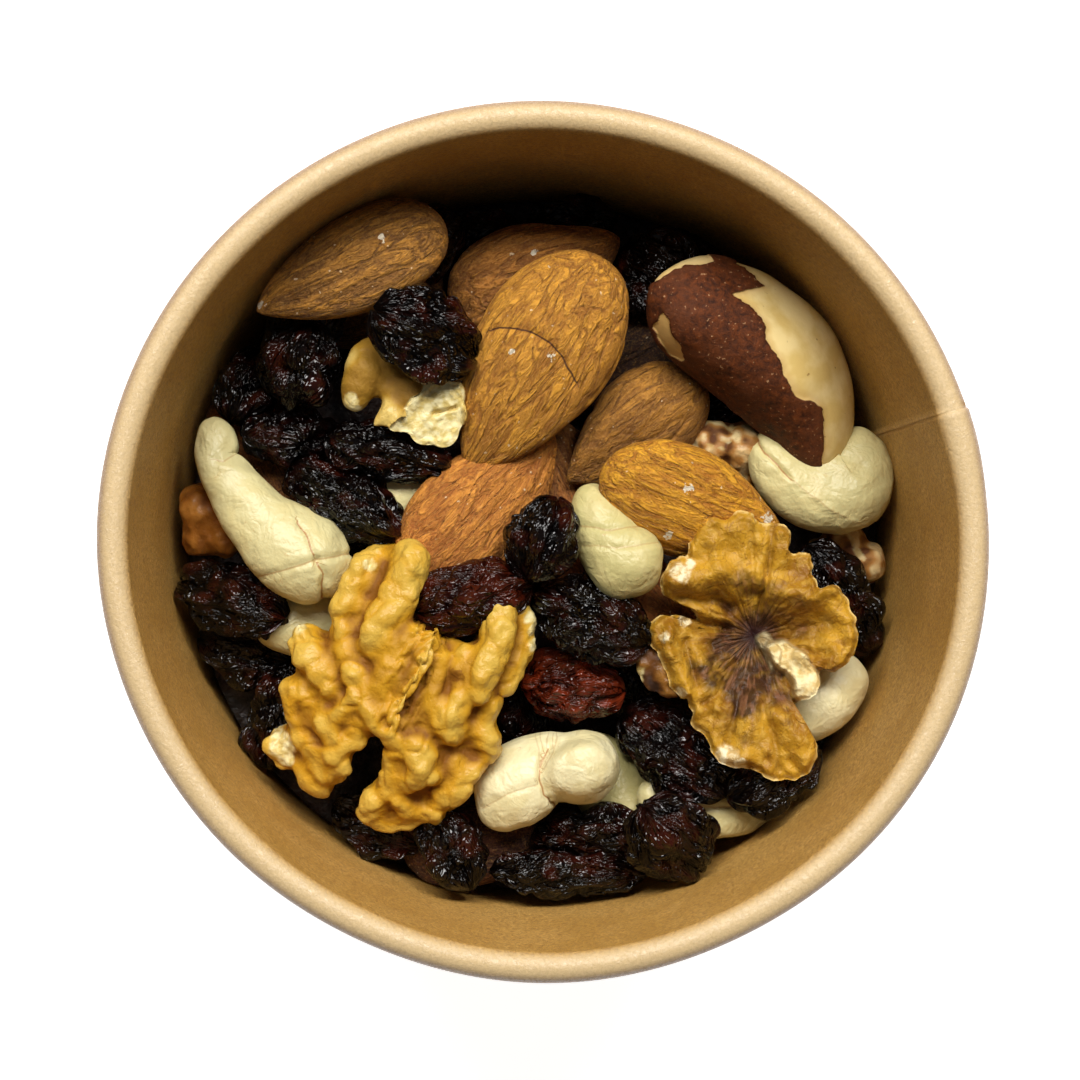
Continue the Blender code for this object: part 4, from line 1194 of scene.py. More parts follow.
dark_raisin = raisin_finish("dark raisin", paint(3, 1, 1), paint(11, 4, 3), paint(50, 15, 7))
red_raisin = raisin_finish("red raisin", paint(50, 14, 6), paint(100, 36, 16), paint(136, 48, 20))
made_piece("raisins", *gathered(dark_parts), dark_raisin, "nuts_and_raisins", "trail_mix")
made_piece("red_raisins", *gathered(red_parts), red_raisin, "nuts_and_raisins", "trail_mix")


# The walnut half lies crown up: rounded lobes like the folds of a brain over a full body, with thin
# ridges down the middle and a deep cleft at the front. Each lobe is a row of balls along a path, and
# all are fused into one skin. Each row gives how far its lobe stands over the dome, and then its path
# as x, y and radius.
WALNUT_PATHS = (
    (1.1, (1.5, 12.9, 1.9), (1.1, 10.8, 2.0), (0.1, 8.7, 1.9), (-1.0, 6.7, 1.7), (-1.8, 5.6, 1.4)),
    (0.5, (-2.0, 13.2, 1.2), (-3.0, 12.2, 1.5), (-3.8, 10.8, 1.5), (-4.6, 9.2, 1.5), (-5.8, 7.9, 1.2)),
    (0.1, (-5.0, 6.4, 1.2), (-4.8, 4.4, 1.2), (-4.0, 2.4, 1.3)),
    (0.6, (-9.8, 5.0, 1.4), (-8.8, 4.0, 1.6), (-7.5, 2.4, 1.6), (-6.5, 1.0, 1.3)),
    (0.5, (-11.2, 0.0, 1.0), (-9.7, -0.1, 1.1), (-7.9, -0.8, 0.9)),
    (0.1, (-10.7, -2.0, 1.1), (-10.2, -3.2, 1.1)),
    (0.3, (-12.5, -6.4, 1.5), (-11.9, -7.8, 1.3)),
    (0.4, (-9.8, -4.8, 1.1), (-8.0, -6.3, 1.4), (-7.0, -7.8, 1.4)),
    (0.2, (-9.6, -8.0, 1.2), (-8.8, -9.2, 1.5), (-8.0, -9.9, 1.3)),
    (0.0, (-6.0, -8.8, 1.1), (-6.8, -8.8, 1.1)),
    (0.7, (-6.0, -5.8, 1.4), (-5.4, -7.2, 1.2)),
    (0.8, (-7.0, -2.6, 1.2), (-5.6, -4.2, 1.2), (-4.8, -5.0, 1.0)),
    (1.2, (-5.6, -1.8, 0.8), (-4.5, -0.4, 0.9), (-2.9, -0.1, 0.9), (-1.8, -1.3, 0.9), (-1.2, -2.8, 0.9),
     (-0.4, -3.9, 0.8)),
    (0.6, (-3.6, 2.2, 1.5), (-3.2, 0.8, 1.3)),
    (0.2, (-3.4, -2.6, 1.3), (-3.4, -4.4, 1.1)),
    (0.9, (0.4, 5.8, 1.0), (-0.7, 3.4, 1.0), (-1.7, 1.2, 0.9)),
    (0.9, (2.5, 6.4, 1.2), (1.0, 3.7, 1.1), (-0.2, 1.2, 1.0), (-0.6, -1.2, 0.9)),
    (1.9, (4.7, 7.0, 0.6), (3.8, 4.8, 0.7), (2.4, 1.9, 0.7), (1.0, -0.6, 0.7), (0.3, -3.2, 0.7)),
    (0.5, (5.3, 4.4, 0.8), (4.3, 1.4, 0.9), (2.9, -1.2, 0.9), (1.8, -2.8, 0.8)),
    (0.3, (7.4, 4.2, 1.2), (7.0, 2.2, 1.0)),
    (1.9, (11.2, 8.5, 1.5), (10.9, 7.0, 1.7), (10.3, 4.6, 1.6), (9.6, 2.4, 1.5), (9.2, 0.7, 1.2)),
    (-0.2, (12.8, 7.6, 1.1), (13.5, 5.8, 1.0), (12.9, 3.6, 1.1), (11.7, 1.2, 1.1)),
    (0.9, (7.2, 0.2, 1.4), (6.0, -1.8, 1.8), (6.6, -3.4, 1.5)),
    (0.4, (4.6, -0.4, 1.1), (3.9, -2.6, 1.1)),
    (0.3, (10.1, -1.2, 1.2), (9.3, -3.0, 1.2), (9.8, -5.0, 1.3), (10.1, -6.2, 0.9)),
    (1.1, (1.4, -4.6, 1.4), (3.0, -5.2, 1.8), (3.7, -7.0, 1.6), (2.2, -8.0, 1.4)),
    (0.6, (0.0, -6.4, 1.1), (-0.2, -8.4, 1.3), (0.6, -10.0, 1.4), (1.6, -11.3, 1.2)),
    (0.7, (-2.0, -11.2, 1.5), (-2.6, -12.6, 1.3)),
    (0.5, (-1.9, -13.3, 1.2), (-0.1, -13.6, 1.1), (1.9, -12.9, 1.2)),
    (0.6, (3.9, -11.8, 1.5), (4.3, -13.0, 1.0)),
    (0.8, (6.0, -9.9, 1.5), (7.2, -8.4, 1.5), (8.3, -7.6, 1.3)),
    (0.3, (5.8, -7.8, 1.0), (6.8, -6.2, 1.1)),
)
# The outline of the body under the lobes, with the cleft at the front
WALNUT_EDGE = (
    (0.5, 15.0), (2.5, 14.6), (3.5, 12.0), (2.7, 9.0), (2.2, 7.6), (4.7, 7.8), (5.6, 6.4), (6.6, 5.2),
    (8.5, 5.1), (9.6, 8.3), (11.0, 9.9), (13.3, 8.9), (14.5, 6.2), (13.6, 3.4), (11.8, 0.9),
    (11.1, -2.0), (10.7, -3.6), (11.1, -6.0), (9.7, -7.4), (8.8, -10.0), (6.6, -12.4), (4.4, -14.0),
    (2.6, -13.8), (0.6, -15.0), (-2.6, -14.8), (-4.2, -13.4), (-4.2, -11.6), (-2.2, -9.4),
    (-1.2, -7.6), (-0.9, -5.8), (-1.9, -4.6), (-3.2, -5.2), (-4.2, -7.0), (-5.2, -9.2), (-6.8, -10.8),
    (-8.2, -11.9), (-10.8, -10.0), (-12.3, -9.2), (-13.9, -6.6), (-13.0, -4.8), (-11.3, -4.0),
    (-11.6, -1.4), (-12.2, 0.4), (-9.8, 1.8), (-11.2, 4.4), (-10.4, 6.6), (-8.0, 6.2), (-6.6, 5.6),
    (-7.2, 7.4), (-5.8, 9.8), (-5.0, 12.2), (-3.0, 13.8),
)
# Its two small dark spots, and where its skin is broken and pale: x, y and radius
WALNUT_SPOTS = ((6.5, 2.5, 0.7), (7.2, 2.3, 0.4))
WALNUT_BROKEN = (
    (-12.7, -6.8, 1.7), (-12.2, -8.4, 1.1), (-10.6, 6.3, 0.6), (-3.1, 13.4, 0.7), (13.9, 7.8, 0.7),
    (14.4, 6.4, 0.7), (14.3, 4.9, 0.6),
)


def crown(x, y):
    """The height of the crown's dome over a place: highest at (1, -1), falling with the distance squared."""
    return 2.8 - 5.4 * (np.hypot(x - 1.0, y + 1.0) / 15.0) ** 2


def balls_along(path, step):
    """Middles and radii of balls every step or so along a path of x, y and radius."""
    rows = np.array(path)
    gaps = np.hypot(*np.diff(rows[:, :2], axis=0).T)
    reach = np.concatenate([[0.0], np.cumsum(gaps)])
    at = np.linspace(0.0, reach[-1], max(2, int(reach[-1] / step) + 1))
    return np.stack([np.interp(at, reach, rows[:, k]) for k in range(3)], axis=1)


def one_skin(middles, radii, voxel):
    """Balls or longer ovals fused into one closed skin by voxels, in millimetres. Gives the points,
    the quads, the triangles and the edges."""
    unit, (quads, triangles) = ball(16, 12), ball_faces(16, 12)
    starts = np.arange(len(middles))[:, None, None] * len(unit)
    points = (unit[None] * radii[:, None] + middles[:, None]).reshape(-1, 3)
    mesh = bpy.data.meshes.new("balls")
    faces = (quads[None] + starts).reshape(-1, 4).tolist()
    faces += (triangles[None] + starts).reshape(-1, 3).tolist()
    mesh.from_pydata(points.tolist(), [], faces)
    holder = stand("balls", mesh, np.eye(4))
    fuse = holder.modifiers.new("Fuse", "REMESH")
    fuse.mode = "VOXEL"
    fuse.voxel_size = voxel
    fused = bpy.data.meshes.new_from_object(holder.evaluated_get(bpy.context.evaluated_depsgraph_get()))
    bpy.data.objects.remove(holder)
    found = np.zeros(len(fused.vertices) * 3)
    fused.vertices.foreach_get("co", found)
    edges = np.zeros(len(fused.edges) * 2, dtype=np.int32)
    fused.edges.foreach_get("vertices", edges)
    corners = np.zeros(len(fused.loops), dtype=np.int32)
    fused.loops.foreach_get("vertex_index", corners)
    totals = np.zeros(len(fused.polygons), dtype=np.int32)
    fused.polygons.foreach_get("loop_total", totals)
    starts = np.concatenate([[0], np.cumsum(totals)[:-1]])
    quads = corners[starts[totals == 4][:, None] + np.arange(4)]
    triangles = corners[starts[totals == 3][:, None] + np.arange(3)]
    return found.reshape(-1, 3), quads, triangles, edges.reshape(-1, 2)


def relaxed(points, edges, times):
    """Points moved that many times to the average of their neighbours."""
    ends = np.concatenate([edges, edges[:, ::-1]])
    count = np.maximum(np.bincount(ends[:, 0], minlength=len(points)), 1)
    for _ in range(times):
        sums = [np.bincount(ends[:, 0], points[ends[:, 1], k], len(points)) for k in range(3)]
        points = np.stack(sums, axis=1) / count[:, None]
    return points


def normals_of(points, quads, triangles):
    """Unit normals of the points: the sum of the areas of the faces round each."""
    corners = np.concatenate([quads[:, :3], quads[:, [0, 2, 3]], triangles])
    a, b, c = points[corners].transpose(1, 0, 2)
    areas = np.cross(b - a, c - a)
    total = np.zeros_like(points)
    for k in range(3):
        np.add.at(total, corners[:, k], areas)
    return total / np.maximum(np.linalg.norm(total, axis=1, keepdims=True), 1e-12)


def spotted(points, spots, ragged):
    """1 at the spots, given as x, y and radius, and 0 away from them, with a ragged edge."""
    found = np.zeros(len(points))
    for x, y, reach in spots:
        off = np.hypot(points[:, 0] - x, points[:, 1] - y) + ragged
        found = np.maximum(found, 1 - ease(off, reach * 0.7, reach))
    return found


WALNUT_ROW = 59
LOBE_FULLNESS = 1.13  # the skin is evened out later, which thins the lobes
WALNUT_STRETCH = (1.02, 1.075, 1.0)
WALNUT_SHIFT = (-0.5, -0.3, 0.0)
RIDGE_LINE = ((3.4, 6.0), (1.6, 2.0), (0.4, -1.6))  # the middle of the wedge of thin ridges
lobe_balls = [(balls_along(path, 0.45), rise) for rise, *path in WALNUT_PATHS]
middles = np.concatenate([
    np.column_stack([row[:, :2], crown(row[:, 0], row[:, 1]) + rise]) for row, rise in lobe_balls])
radii = np.concatenate([np.repeat(row[:, 2:], 3, axis=1) for row, rise in lobe_balls])
radii *= LOBE_FULLNESS
legs = middles - (0, 0, 1.4)
grid = np.stack(np.meshgrid(np.arange(-14, 15, 1.1), np.arange(-15, 16, 1.1)), axis=-1).reshape(-1, 2)
grid = grid[depth_inside(grid, WALNUT_EDGE) > 1.5]
uneven = 0.5 * noise(np.column_stack([grid, grid[:, 0]]) / 2.2, 8)
body = np.column_stack([grid, crown(*grid.T) - 2.2 + uneven])
skin_points, quads, triangles, edges = one_skin(
    np.concatenate([middles, legs, body]),
    np.concatenate([radii, radii * 0.95, np.tile((1.7, 1.7, 3.0), (len(body), 1))]), voxel=0.25)
skin_points[:, 2] = np.maximum(skin_points[:, 2], -6.0)
skin_points = relaxed(skin_points, edges, 12) * WALNUT_STRETCH + WALNUT_SHIFT
even = relaxed(skin_points, edges, 90)
away = normals_of(skin_points, quads, triangles)
swelling = np.einsum("ij,ij->i", skin_points - even, away)
drawn = skin_points @ np.array([[0.42, 0.9, 0], [0.9, -0.42, 0], [0, 0, 1]]) * (0.3, 1, 1)
in_wedge = ease(1.8 - line_distance(skin_points[:, :2], RIDGE_LINE), -1.0, 0.6)
relief = 0.32 * noise(skin_points / 2.8, 20) + 0.36 * noise(skin_points / 1.5, 21)
relief += 0.15 * noise(skin_points / 0.8, 22)
relief -= 0.20 * np.exp(-(noise(skin_points / 2.3, 27) / 0.16) ** 2)
relief -= 0.70 * in_wedge * np.exp(-(noise(drawn / 0.55, 23) / 0.3) ** 2)
skin_points = skin_points + away * relief[:, None]
pale = spotted(skin_points, WALNUT_BROKEN, 0.25 * noise(skin_points / 0.6, 24))
dark = spotted(skin_points, WALNUT_SPOTS, 0.2 * noise(skin_points / 0.5, 25))
skin_points = skin_points + away * (0.22 * pale * noise(skin_points / 0.45, 26))[:, None]
# The relief's folds are painted darker too, as painted shade. The two dark spots are the skin's own colour.
folded = np.exp(-(noise(skin_points / 2.3, 27) / 0.20) ** 2)
walnut_marks = {"swelling": swelling - 0.20 * folded - 1.05 * dark, "pale": pale}


def walnut_finish(name, crease, mid, high):
    """Walnut skin: darker in the creases and paler on the swellings, which is painted shade and painted
    light, and pale where it is broken.
    """
    material, tree, shader = new_material(name)
    where, swelling = place_in_mm(tree), mark(tree, "swelling")
    # Painted shade where the skin dips below its evened-out form, and painted light where it swells out.
    skin = mixed(tree, between(tree, swelling, -0.38, 0.06), crease, mid)
    skin = mixed(tree, between(tree, swelling, 0.06, 0.50), skin, high)
    stain = shader_noise(tree, where, 0.38, 4.0, 0.4)
    skin = mixed(tree, between(tree, stain, 0.50, 0.66, 0.0, 0.5), skin, mid)
    veins = lines_of(tree, where, 0.36, 0.016, 0.44)
    skin = mixed(tree, maths(tree, "MULTIPLY", veins, 0.22), skin, crease)
    specks = shader_noise(tree, where, 3.2, 2.0)
    skin = mixed(tree, between(tree, specks, 0.68, 0.74, 0.0, 0.3), skin, crease)
    crumb = shader_noise(tree, where, 1.1, 3.0)
    flesh = mixed(tree, between(tree, crumb, 0.4, 0.6), paint(208, 184, 112), paint(236, 222, 168))
    skin = mixed(tree, mark(tree, "pale"), skin, flesh)
    tree.links.new(skin, shader.inputs["Base Color"])
    tree.links.new(between(tree, swelling, -0.20, 0.20, 0.70, 0.36), shader.inputs["Roughness"])
    shader.inputs["Specular IOR Level"].default_value = 0.30
    deep = bumped(tree, shader, shader_noise(tree, where, 0.7, 2.0, 0.4), 0.00026)
    bumped(tree, shader, shader_noise(tree, where, 2.6, 3.0, 0.6), 0.00008, deep)
    return material


walnut_skin = walnut_finish("walnut skin", paint(124, 76, 6), paint(196, 144, 30), paint(206, 168, 70))
made_piece("walnut_half", placed(skin_points, WALNUT_ROW), quads, triangles, walnut_marks,
           walnut_skin, "nuts_and_raisins", "trail_mix")


# The other walnut half lies open side up: a thin skin of kernel in scalloped petals that spread and
# rise from a dark middle, where the papery wall between the halves was. It is a sheet drawn from the
# middle out to its edge and back under itself, folded along lines.
PETAL_MIDDLE = (0.8, 1.2)
PETAL_EDGE = (
    (-5.0, 14.0), (-3.6, 14.2), (-2.3, 13.8), (-0.8, 14.3), (0.6, 13.8), (1.3, 13.0), (2.6, 13.3),
    (4.1, 12.8), (4.6, 11.4), (4.4, 10.2), (5.6, 9.8), (6.7, 9.6), (7.0, 8.5), (6.8, 7.8), (7.4, 6.8),
    (7.7, 6.1), (8.7, 6.5), (9.6, 6.4), (10.4, 5.2), (11.3, 3.3), (11.7, 1.6), (11.5, -0.4),
    (10.6, -1.8), (9.4, -2.6), (7.9, -2.6), (7.5, -4.2), (6.9, -5.4), (5.6, -5.8), (4.2, -6.9),
    (5.0, -8.0), (6.4, -9.2), (7.3, -10.2), (7.4, -11.6), (6.6, -13.2), (5.2, -14.1), (3.4, -14.1),
    (2.0, -14.0), (1.2, -13.3), (0.0, -12.9), (-1.4, -13.0), (-3.0, -12.4), (-3.9, -11.2),
    (-4.4, -9.8), (-5.4, -9.0), (-6.0, -8.3), (-5.9, -7.0), (-6.3, -5.8), (-7.7, -5.0), (-8.6, -3.2),
    (-9.4, -1.2), (-10.4, 0.6), (-10.4, 2.3), (-9.0, 3.2), (-7.2, 3.2), (-6.0, 2.2), (-5.2, 2.6),
    (-5.6, 3.8), (-7.4, 4.8), (-8.8, 5.4), (-9.1, 6.8), (-8.6, 8.6), (-7.4, 9.4), (-6.6, 9.6),
    (-6.2, 11.2), (-5.6, 12.8),
)
# Folds of the sheet: how high each stands, or how deep it lies, its breadth and its line
PETAL_FOLDS = (
    (1.5, 1.5, ((-8.0, 6.4), (-5.6, 6.6), (-3.0, 7.4), (-1.2, 6.4), (0.6, 7.6), (2.6, 5.8), (6.8, 5.4))),
    (-1.1, 0.6, ((-7.6, 5.0), (-5.6, 5.2), (-3.4, 5.0), (-1.6, 4.0))),
    (-1.5, 0.8, ((-6.6, 3.0), (-4.4, 2.4), (-2.4, 1.8))),
    (-0.9, 0.35, ((2.8, 12.6), (2.6, 9.4), (1.8, 6.4), (1.2, 3.4))),
    (0.6, 0.9, ((-4.0, 13.0), (-3.4, 10.4), (-2.6, 8.0))),
    (-0.5, 0.5, ((0.4, 12.8), (0.6, 10.0), (0.4, 7.6))),
    (0.9, 1.1, ((1.8, 3.4), (4.2, 4.6), (7.4, 5.4), (9.4, 5.8))),
    (-1.0, 1.3, ((3.4, 1.6), (6.0, 1.6), (8.6, 2.2))),
    (0.8, 1.3, ((9.6, 4.6), (10.8, 2.0), (10.4, -0.6), (8.6, -1.8))),
    (-0.5, 0.45, ((4.8, 0.0), (7.0, -0.6), (9.0, -1.2))),
    (1.4, 0.9, ((-8.6, 2.2), (-8.2, -0.2), (-7.4, -2.6), (-6.4, -4.8))),
    (-0.8, 0.5, ((-6.4, 0.6), (-6.0, -1.6), (-5.2, -4.0))),
    (0.5, 0.8, ((-4.6, -0.8), (-3.8, -3.6), (-3.6, -6.4))),
    (-0.6, 0.35, ((-4.8, -6.0), (-2.6, -4.0), (-1.2, -1.8))),
    (-0.6, 0.40, ((-2.6, -10.6), (-1.4, -7.4), (-0.4, -4.2))),
    (0.8, 1.1, ((-0.6, -11.6), (0.6, -8.0), (1.0, -5.0))),
    (-0.7, 0.5, ((3.2, -13.0), (2.8, -9.6), (1.8, -6.4))),
    (0.9, 1.2, ((6.2, -12.0), (4.8, -9.6), (3.2, -7.4))),
    (-0.4, 0.4, ((5.0, -13.2), (4.0, -11.0))),
)
# Where its edge is broken and pale: x, y and radius
PETAL_BROKEN = (
    (-7.0, 7.8, 1.3), (-6.2, 8.6, 0.7), (-2.2, -11.7, 1.5), (-0.9, -12.4, 0.7), (-7.0, -4.9, 0.6),
    (-8.8, 0.9, 0.6), (-6.6, 2.8, 0.6),
)
SHEET_TURNS = 320
SHEET_RINGS = 80
PETALS_ROW = 60
PETALS_SHIFT = (-0.9, 0.0, 0.0)
NUB_LINE = ((3.6, -0.6), (5.4, -1.8), (6.2, -3.4), (6.5, -4.6))  # the pale nub by the middle
LUMP_LINE = ((1.8, 0.8), (2.8, -0.4), (2.6, -1.6))  # and the smaller lump beside it


def round_curve(points, count):
    """A closed smooth curve through the points: a Catmull-Rom curve, read at even steps of its length."""
    given = np.array(points)
    fine = np.linspace(0, len(given), 24 * len(given), endpoint=False)
    k, t = fine.astype(int), (fine % 1)[:, None]
    a, b, c, d = (given[(k + step) % len(given)] for step in (-1, 0, 1, 2))
    curve = 0.5 * (2 * b + (c - a) * t + (2 * a - 5 * b + 4 * c - d) * t**2 + (3 * b - a - 3 * c + d) * t**3)
    gaps = np.hypot(*(np.roll(curve, -1, axis=0) - curve).T)
    reach = np.concatenate([[0.0], np.cumsum(gaps)])
    at = np.linspace(0, reach[-1], count, endpoint=False)
    closed = np.concatenate([curve, curve[:1]])
    return np.stack([np.interp(at, reach, closed[:, axis]) for axis in range(2)], axis=1)


edge = round_curve(PETAL_EDGE, SHEET_TURNS)
edge_place = np.column_stack([edge, 0 * edge[:, 0]])
edge += 0.22 * np.stack([noise(edge_place / 0.7, 36), noise(edge_place / 0.7, 37)], axis=1)
share = np.sin(np.linspace(0.02, math.pi / 2, SHEET_RINGS))  # finer towards the edge
flat = np.array(PETAL_MIDDLE) + share[None, :, None] * (edge[:, None] - PETAL_MIDDLE)
off = flat - PETAL_MIDDLE
heading = np.degrees(np.arctan2(off[..., 1], off[..., 0]))
distance = np.hypot(off[..., 0], off[..., 1])
places = np.dstack([flat, 0 * distance]).reshape(-1, 3)
wander = places[:, :2] + 0.35 * np.stack([noise(places / 1.7, 41), noise(places / 1.7, 42)], axis=1)
folds = np.zeros(len(places))
for stand_out, breadth, line in PETAL_FOLDS:
    folds += stand_out * np.exp(-(line_distance(wander, line) / breadth) ** 2)
folds = folds.reshape(distance.shape)
ruffle = (0.45 * noise(places / 2.6, 31) + 0.20 * noise(places / 1.1, 32)).reshape(distance.shape)
spoke = np.stack([np.cos(np.radians(heading)) * 5, np.sin(np.radians(heading)) * 5, distance * 0.22], axis=-1)
sway = spoke.reshape(-1, 3) + 0.5 * noise(places / 2.0, 34)[:, None]
fibres = -np.exp(-(noise(sway / 0.8, 33) / 0.16) ** 2).reshape(distance.shape)
fibres *= 0.28 * ease(distance, 0.6, 2.0) * (1 - 0.75 * ease(distance, 4.5, 8.0))
height = -1.6 + 3.4 * ease(distance, 0.0, 8.5) + folds * ease(distance, 0.4, 2.4) + ruffle + fibres
height += 1.4 * ease(flat[..., 1], 7.0, 13.0) - 0.9 * ease(share[None, :], 0.90, 1.0) ** 2
shoulder = np.exp(-(((flat[..., 0] + 7.2) / 2.2) ** 2 + ((flat[..., 1] - 7.4) / 1.8) ** 2))
height += 1.2 * shoulder
height += 0.42 * ease(share[None, :], 0.55, 1.0) * noise(places / 1.0, 35).reshape(distance.shape)
nub = 1 - ease(line_distance(wander, NUB_LINE).reshape(distance.shape), 1.1, 1.7)
lump = 1 - ease(line_distance(wander, LUMP_LINE).reshape(distance.shape), 0.5, 1.0)
rough = (0.45 * noise(places / 1.3, 51) + 0.12 * noise(places / 0.5, 52)).reshape(distance.shape)
height += nub * (2.4 + rough) + lump * (1.0 + rough)
thick = 1.2 * np.sqrt(np.clip(1 - share[None, :] ** 10, 0, 1)) + 0.05
top = np.dstack([flat, height])
low = np.dstack([flat, height - thick - 0.6 * (1 - share[None, :])])[:, -2::-1]
sheet_points = np.concatenate([top, low], axis=1)
sheet_rows = sheet_points.shape[1]


def on_both(values, at_poles=0.0):
    """A mark of the sheet's upper side, given to its under side as well and to its two poles."""
    both = np.concatenate([values, values[:, -2::-1]], axis=1)
    flat_values = both.reshape(-1, 3) if both.ndim == 3 else both.ravel()
    ends = np.full((2, *flat_values.shape[1:]), at_poles)
    return np.concatenate([flat_values, ends])


broken = spotted(places, PETAL_BROKEN, 0.25 * noise(places / 0.5, 43)).reshape(distance.shape)
sheet_marks = {
    "grain": on_both(spoke), "edge": on_both(share[None, :] + 0 * distance), "far": on_both(distance),
    "stain": on_both(line_distance(places[:, :2], (PETAL_MIDDLE, (-0.6, -3.4))).reshape(distance.shape)),
    "nub": on_both(np.maximum(nub, 0.45 * lump)), "white": on_both(broken),
    "fold": on_both(folds + fibres * 2.0),
}
sheet_points = sheet_points.reshape(-1, 3)
poles = [[*PETAL_MIDDLE, height[:, 0].mean()], [*PETAL_MIDDLE, height[:, 0].mean() - 1.8]]
sheet_points = np.concatenate([sheet_points, poles])
firsts = np.arange(SHEET_TURNS) * sheet_rows
lasts = firsts + sheet_rows - 1
sheet_caps = np.concatenate([
    np.stack([firsts, np.roll(firsts, -1), np.full(SHEET_TURNS, len(sheet_points) - 2)], axis=1),
    np.stack([np.roll(lasts, -1), lasts, np.full(SHEET_TURNS, len(sheet_points) - 1)], axis=1),
])

petal_finish, tree, shader = new_material("open walnut")
grain, where = mark(tree, "grain", "Vector"), place_in_mm(tree)
amber = shader_noise(tree, where, 0.16, 3.0)
skin = mixed(tree, between(tree, amber, 0.40, 0.60), paint(142, 96, 18), paint(190, 142, 38))
mottle = shader_noise(tree, where, 1.1, 4.0, 0.5, 0.6)
skin = mixed(tree, between(tree, mottle, 0.48, 0.64, 0.0, 0.5), skin, paint(202, 160, 70))
streak = shader_noise(tree, grain, 1.6, 4.0, 0.6, 0.6)
skin = mixed(tree, between(tree, streak, 0.52, 0.66, 0.0, 0.4), skin, paint(120, 72, 18))
veins = lines_of(tree, where, 0.30, 0.014, 0.42)
skin = mixed(tree, maths(tree, "MULTIPLY", veins, 0.5), skin, paint(112, 66, 18))
# Painted shade where the sheet's folds lie deep, and the dark fibres' own colour along their lines.
skin = mixed(tree, between(tree, mark(tree, "fold"), -0.9, -0.15, 0.45, 0.0), skin, paint(84, 46, 10))
fibre = between(tree, shader_noise(tree, grain, 2.2, 3.0, 0.3), 0.50, 0.62)
core_tone = mixed(tree, fibre, paint(44, 22, 18), paint(108, 70, 50))
stray = between(tree, shader_noise(tree, where, 0.35, 2.0), 0.3, 0.7, -3.0, 3.0)
ring = maths(tree, "ADD", mark(tree, "stain"), stray)
skin = mixed(tree, between(tree, ring, 1.8, 5.6, 0.9, 0.0), skin, core_tone)
skin = mixed(tree, between(tree, mark(tree, "far"), 0.5, 2.2, 0.85, 0.0), skin, paint(44, 20, 24))
at_edge = between(tree, mark(tree, "edge"), 0.965, 0.99)
torn = maths(tree, "MULTIPLY", at_edge, between(tree, mottle, 0.42, 0.55))
skin = mixed(tree, maths(tree, "MULTIPLY", torn, 0.8), skin, paint(222, 192, 122))
nub_cloud = between(tree, shader_noise(tree, where, 0.7, 3.0), 0.4, 0.6)
beige = mixed(tree, nub_cloud, paint(206, 176, 112), paint(240, 224, 174))
skin = mixed(tree, mark(tree, "nub"), skin, beige)
chalk = mixed(tree, between(tree, mottle, 0.42, 0.58), paint(202, 170, 112), paint(236, 222, 182))
skin = mixed(tree, mark(tree, "white"), skin, chalk)
tree.links.new(skin, shader.inputs["Base Color"])
shader.inputs["Roughness"].default_value = 0.42
shader.inputs["Specular IOR Level"].default_value = 0.26
deep = bumped(tree, shader, streak, 0.00022)
bumped(tree, shader, mottle, 0.00030, deep)
sheet_quads = wrapped_quads(SHEET_TURNS, sheet_rows)[:, ::-1]
made_piece("open_walnut", placed(sheet_points, PETALS_ROW, PETALS_SHIFT), sheet_quads, sheet_caps,
           sheet_marks, petal_finish, "nuts_and_raisins", "trail_mix")


# Below the petals' left side a dry flap of the same skin is curled under, dark and crumpled. It is a
# low form carried along a path, as the cashews are, and pale where its outer side is broken.
FLAP_PATH = ((-11.4, -0.4, 1.6), (-10.4, -2.2, 2.3), (-9.2, -3.8, 2.1), (-7.6, -4.8, 1.2))
FLAP_SHIFT = (-0.3, 0.5, -0.4)
segments, rings = 90, 80
unit = ball(segments, rings)
own = carried(FLAP_PATH, unit, PETALS_ROW, 0.35, 6.0)
own = own + outward(own, segments, rings) * (0.5 * noise(own / 1.3, 61) + 0.2 * noise(own / 0.6, 62))[:, None]
flap_marks = {
    "swelling": 0.8 * noise(own / 1.3, 61) - 0.1,
    "pale": 0.7 * ease(-own[:, 0] + noise(own / 0.8, 63), 11.9, 12.3),
}
flap_skin = walnut_finish("walnut flap", paint(44, 22, 5), paint(96, 56, 16), paint(150, 104, 44))
made_piece("walnut_flap", placed(own, PETALS_ROW, FLAP_SHIFT), *ball_faces(segments, rings), flap_marks,
           flap_skin, "nuts_and_raisins", "trail_mix")


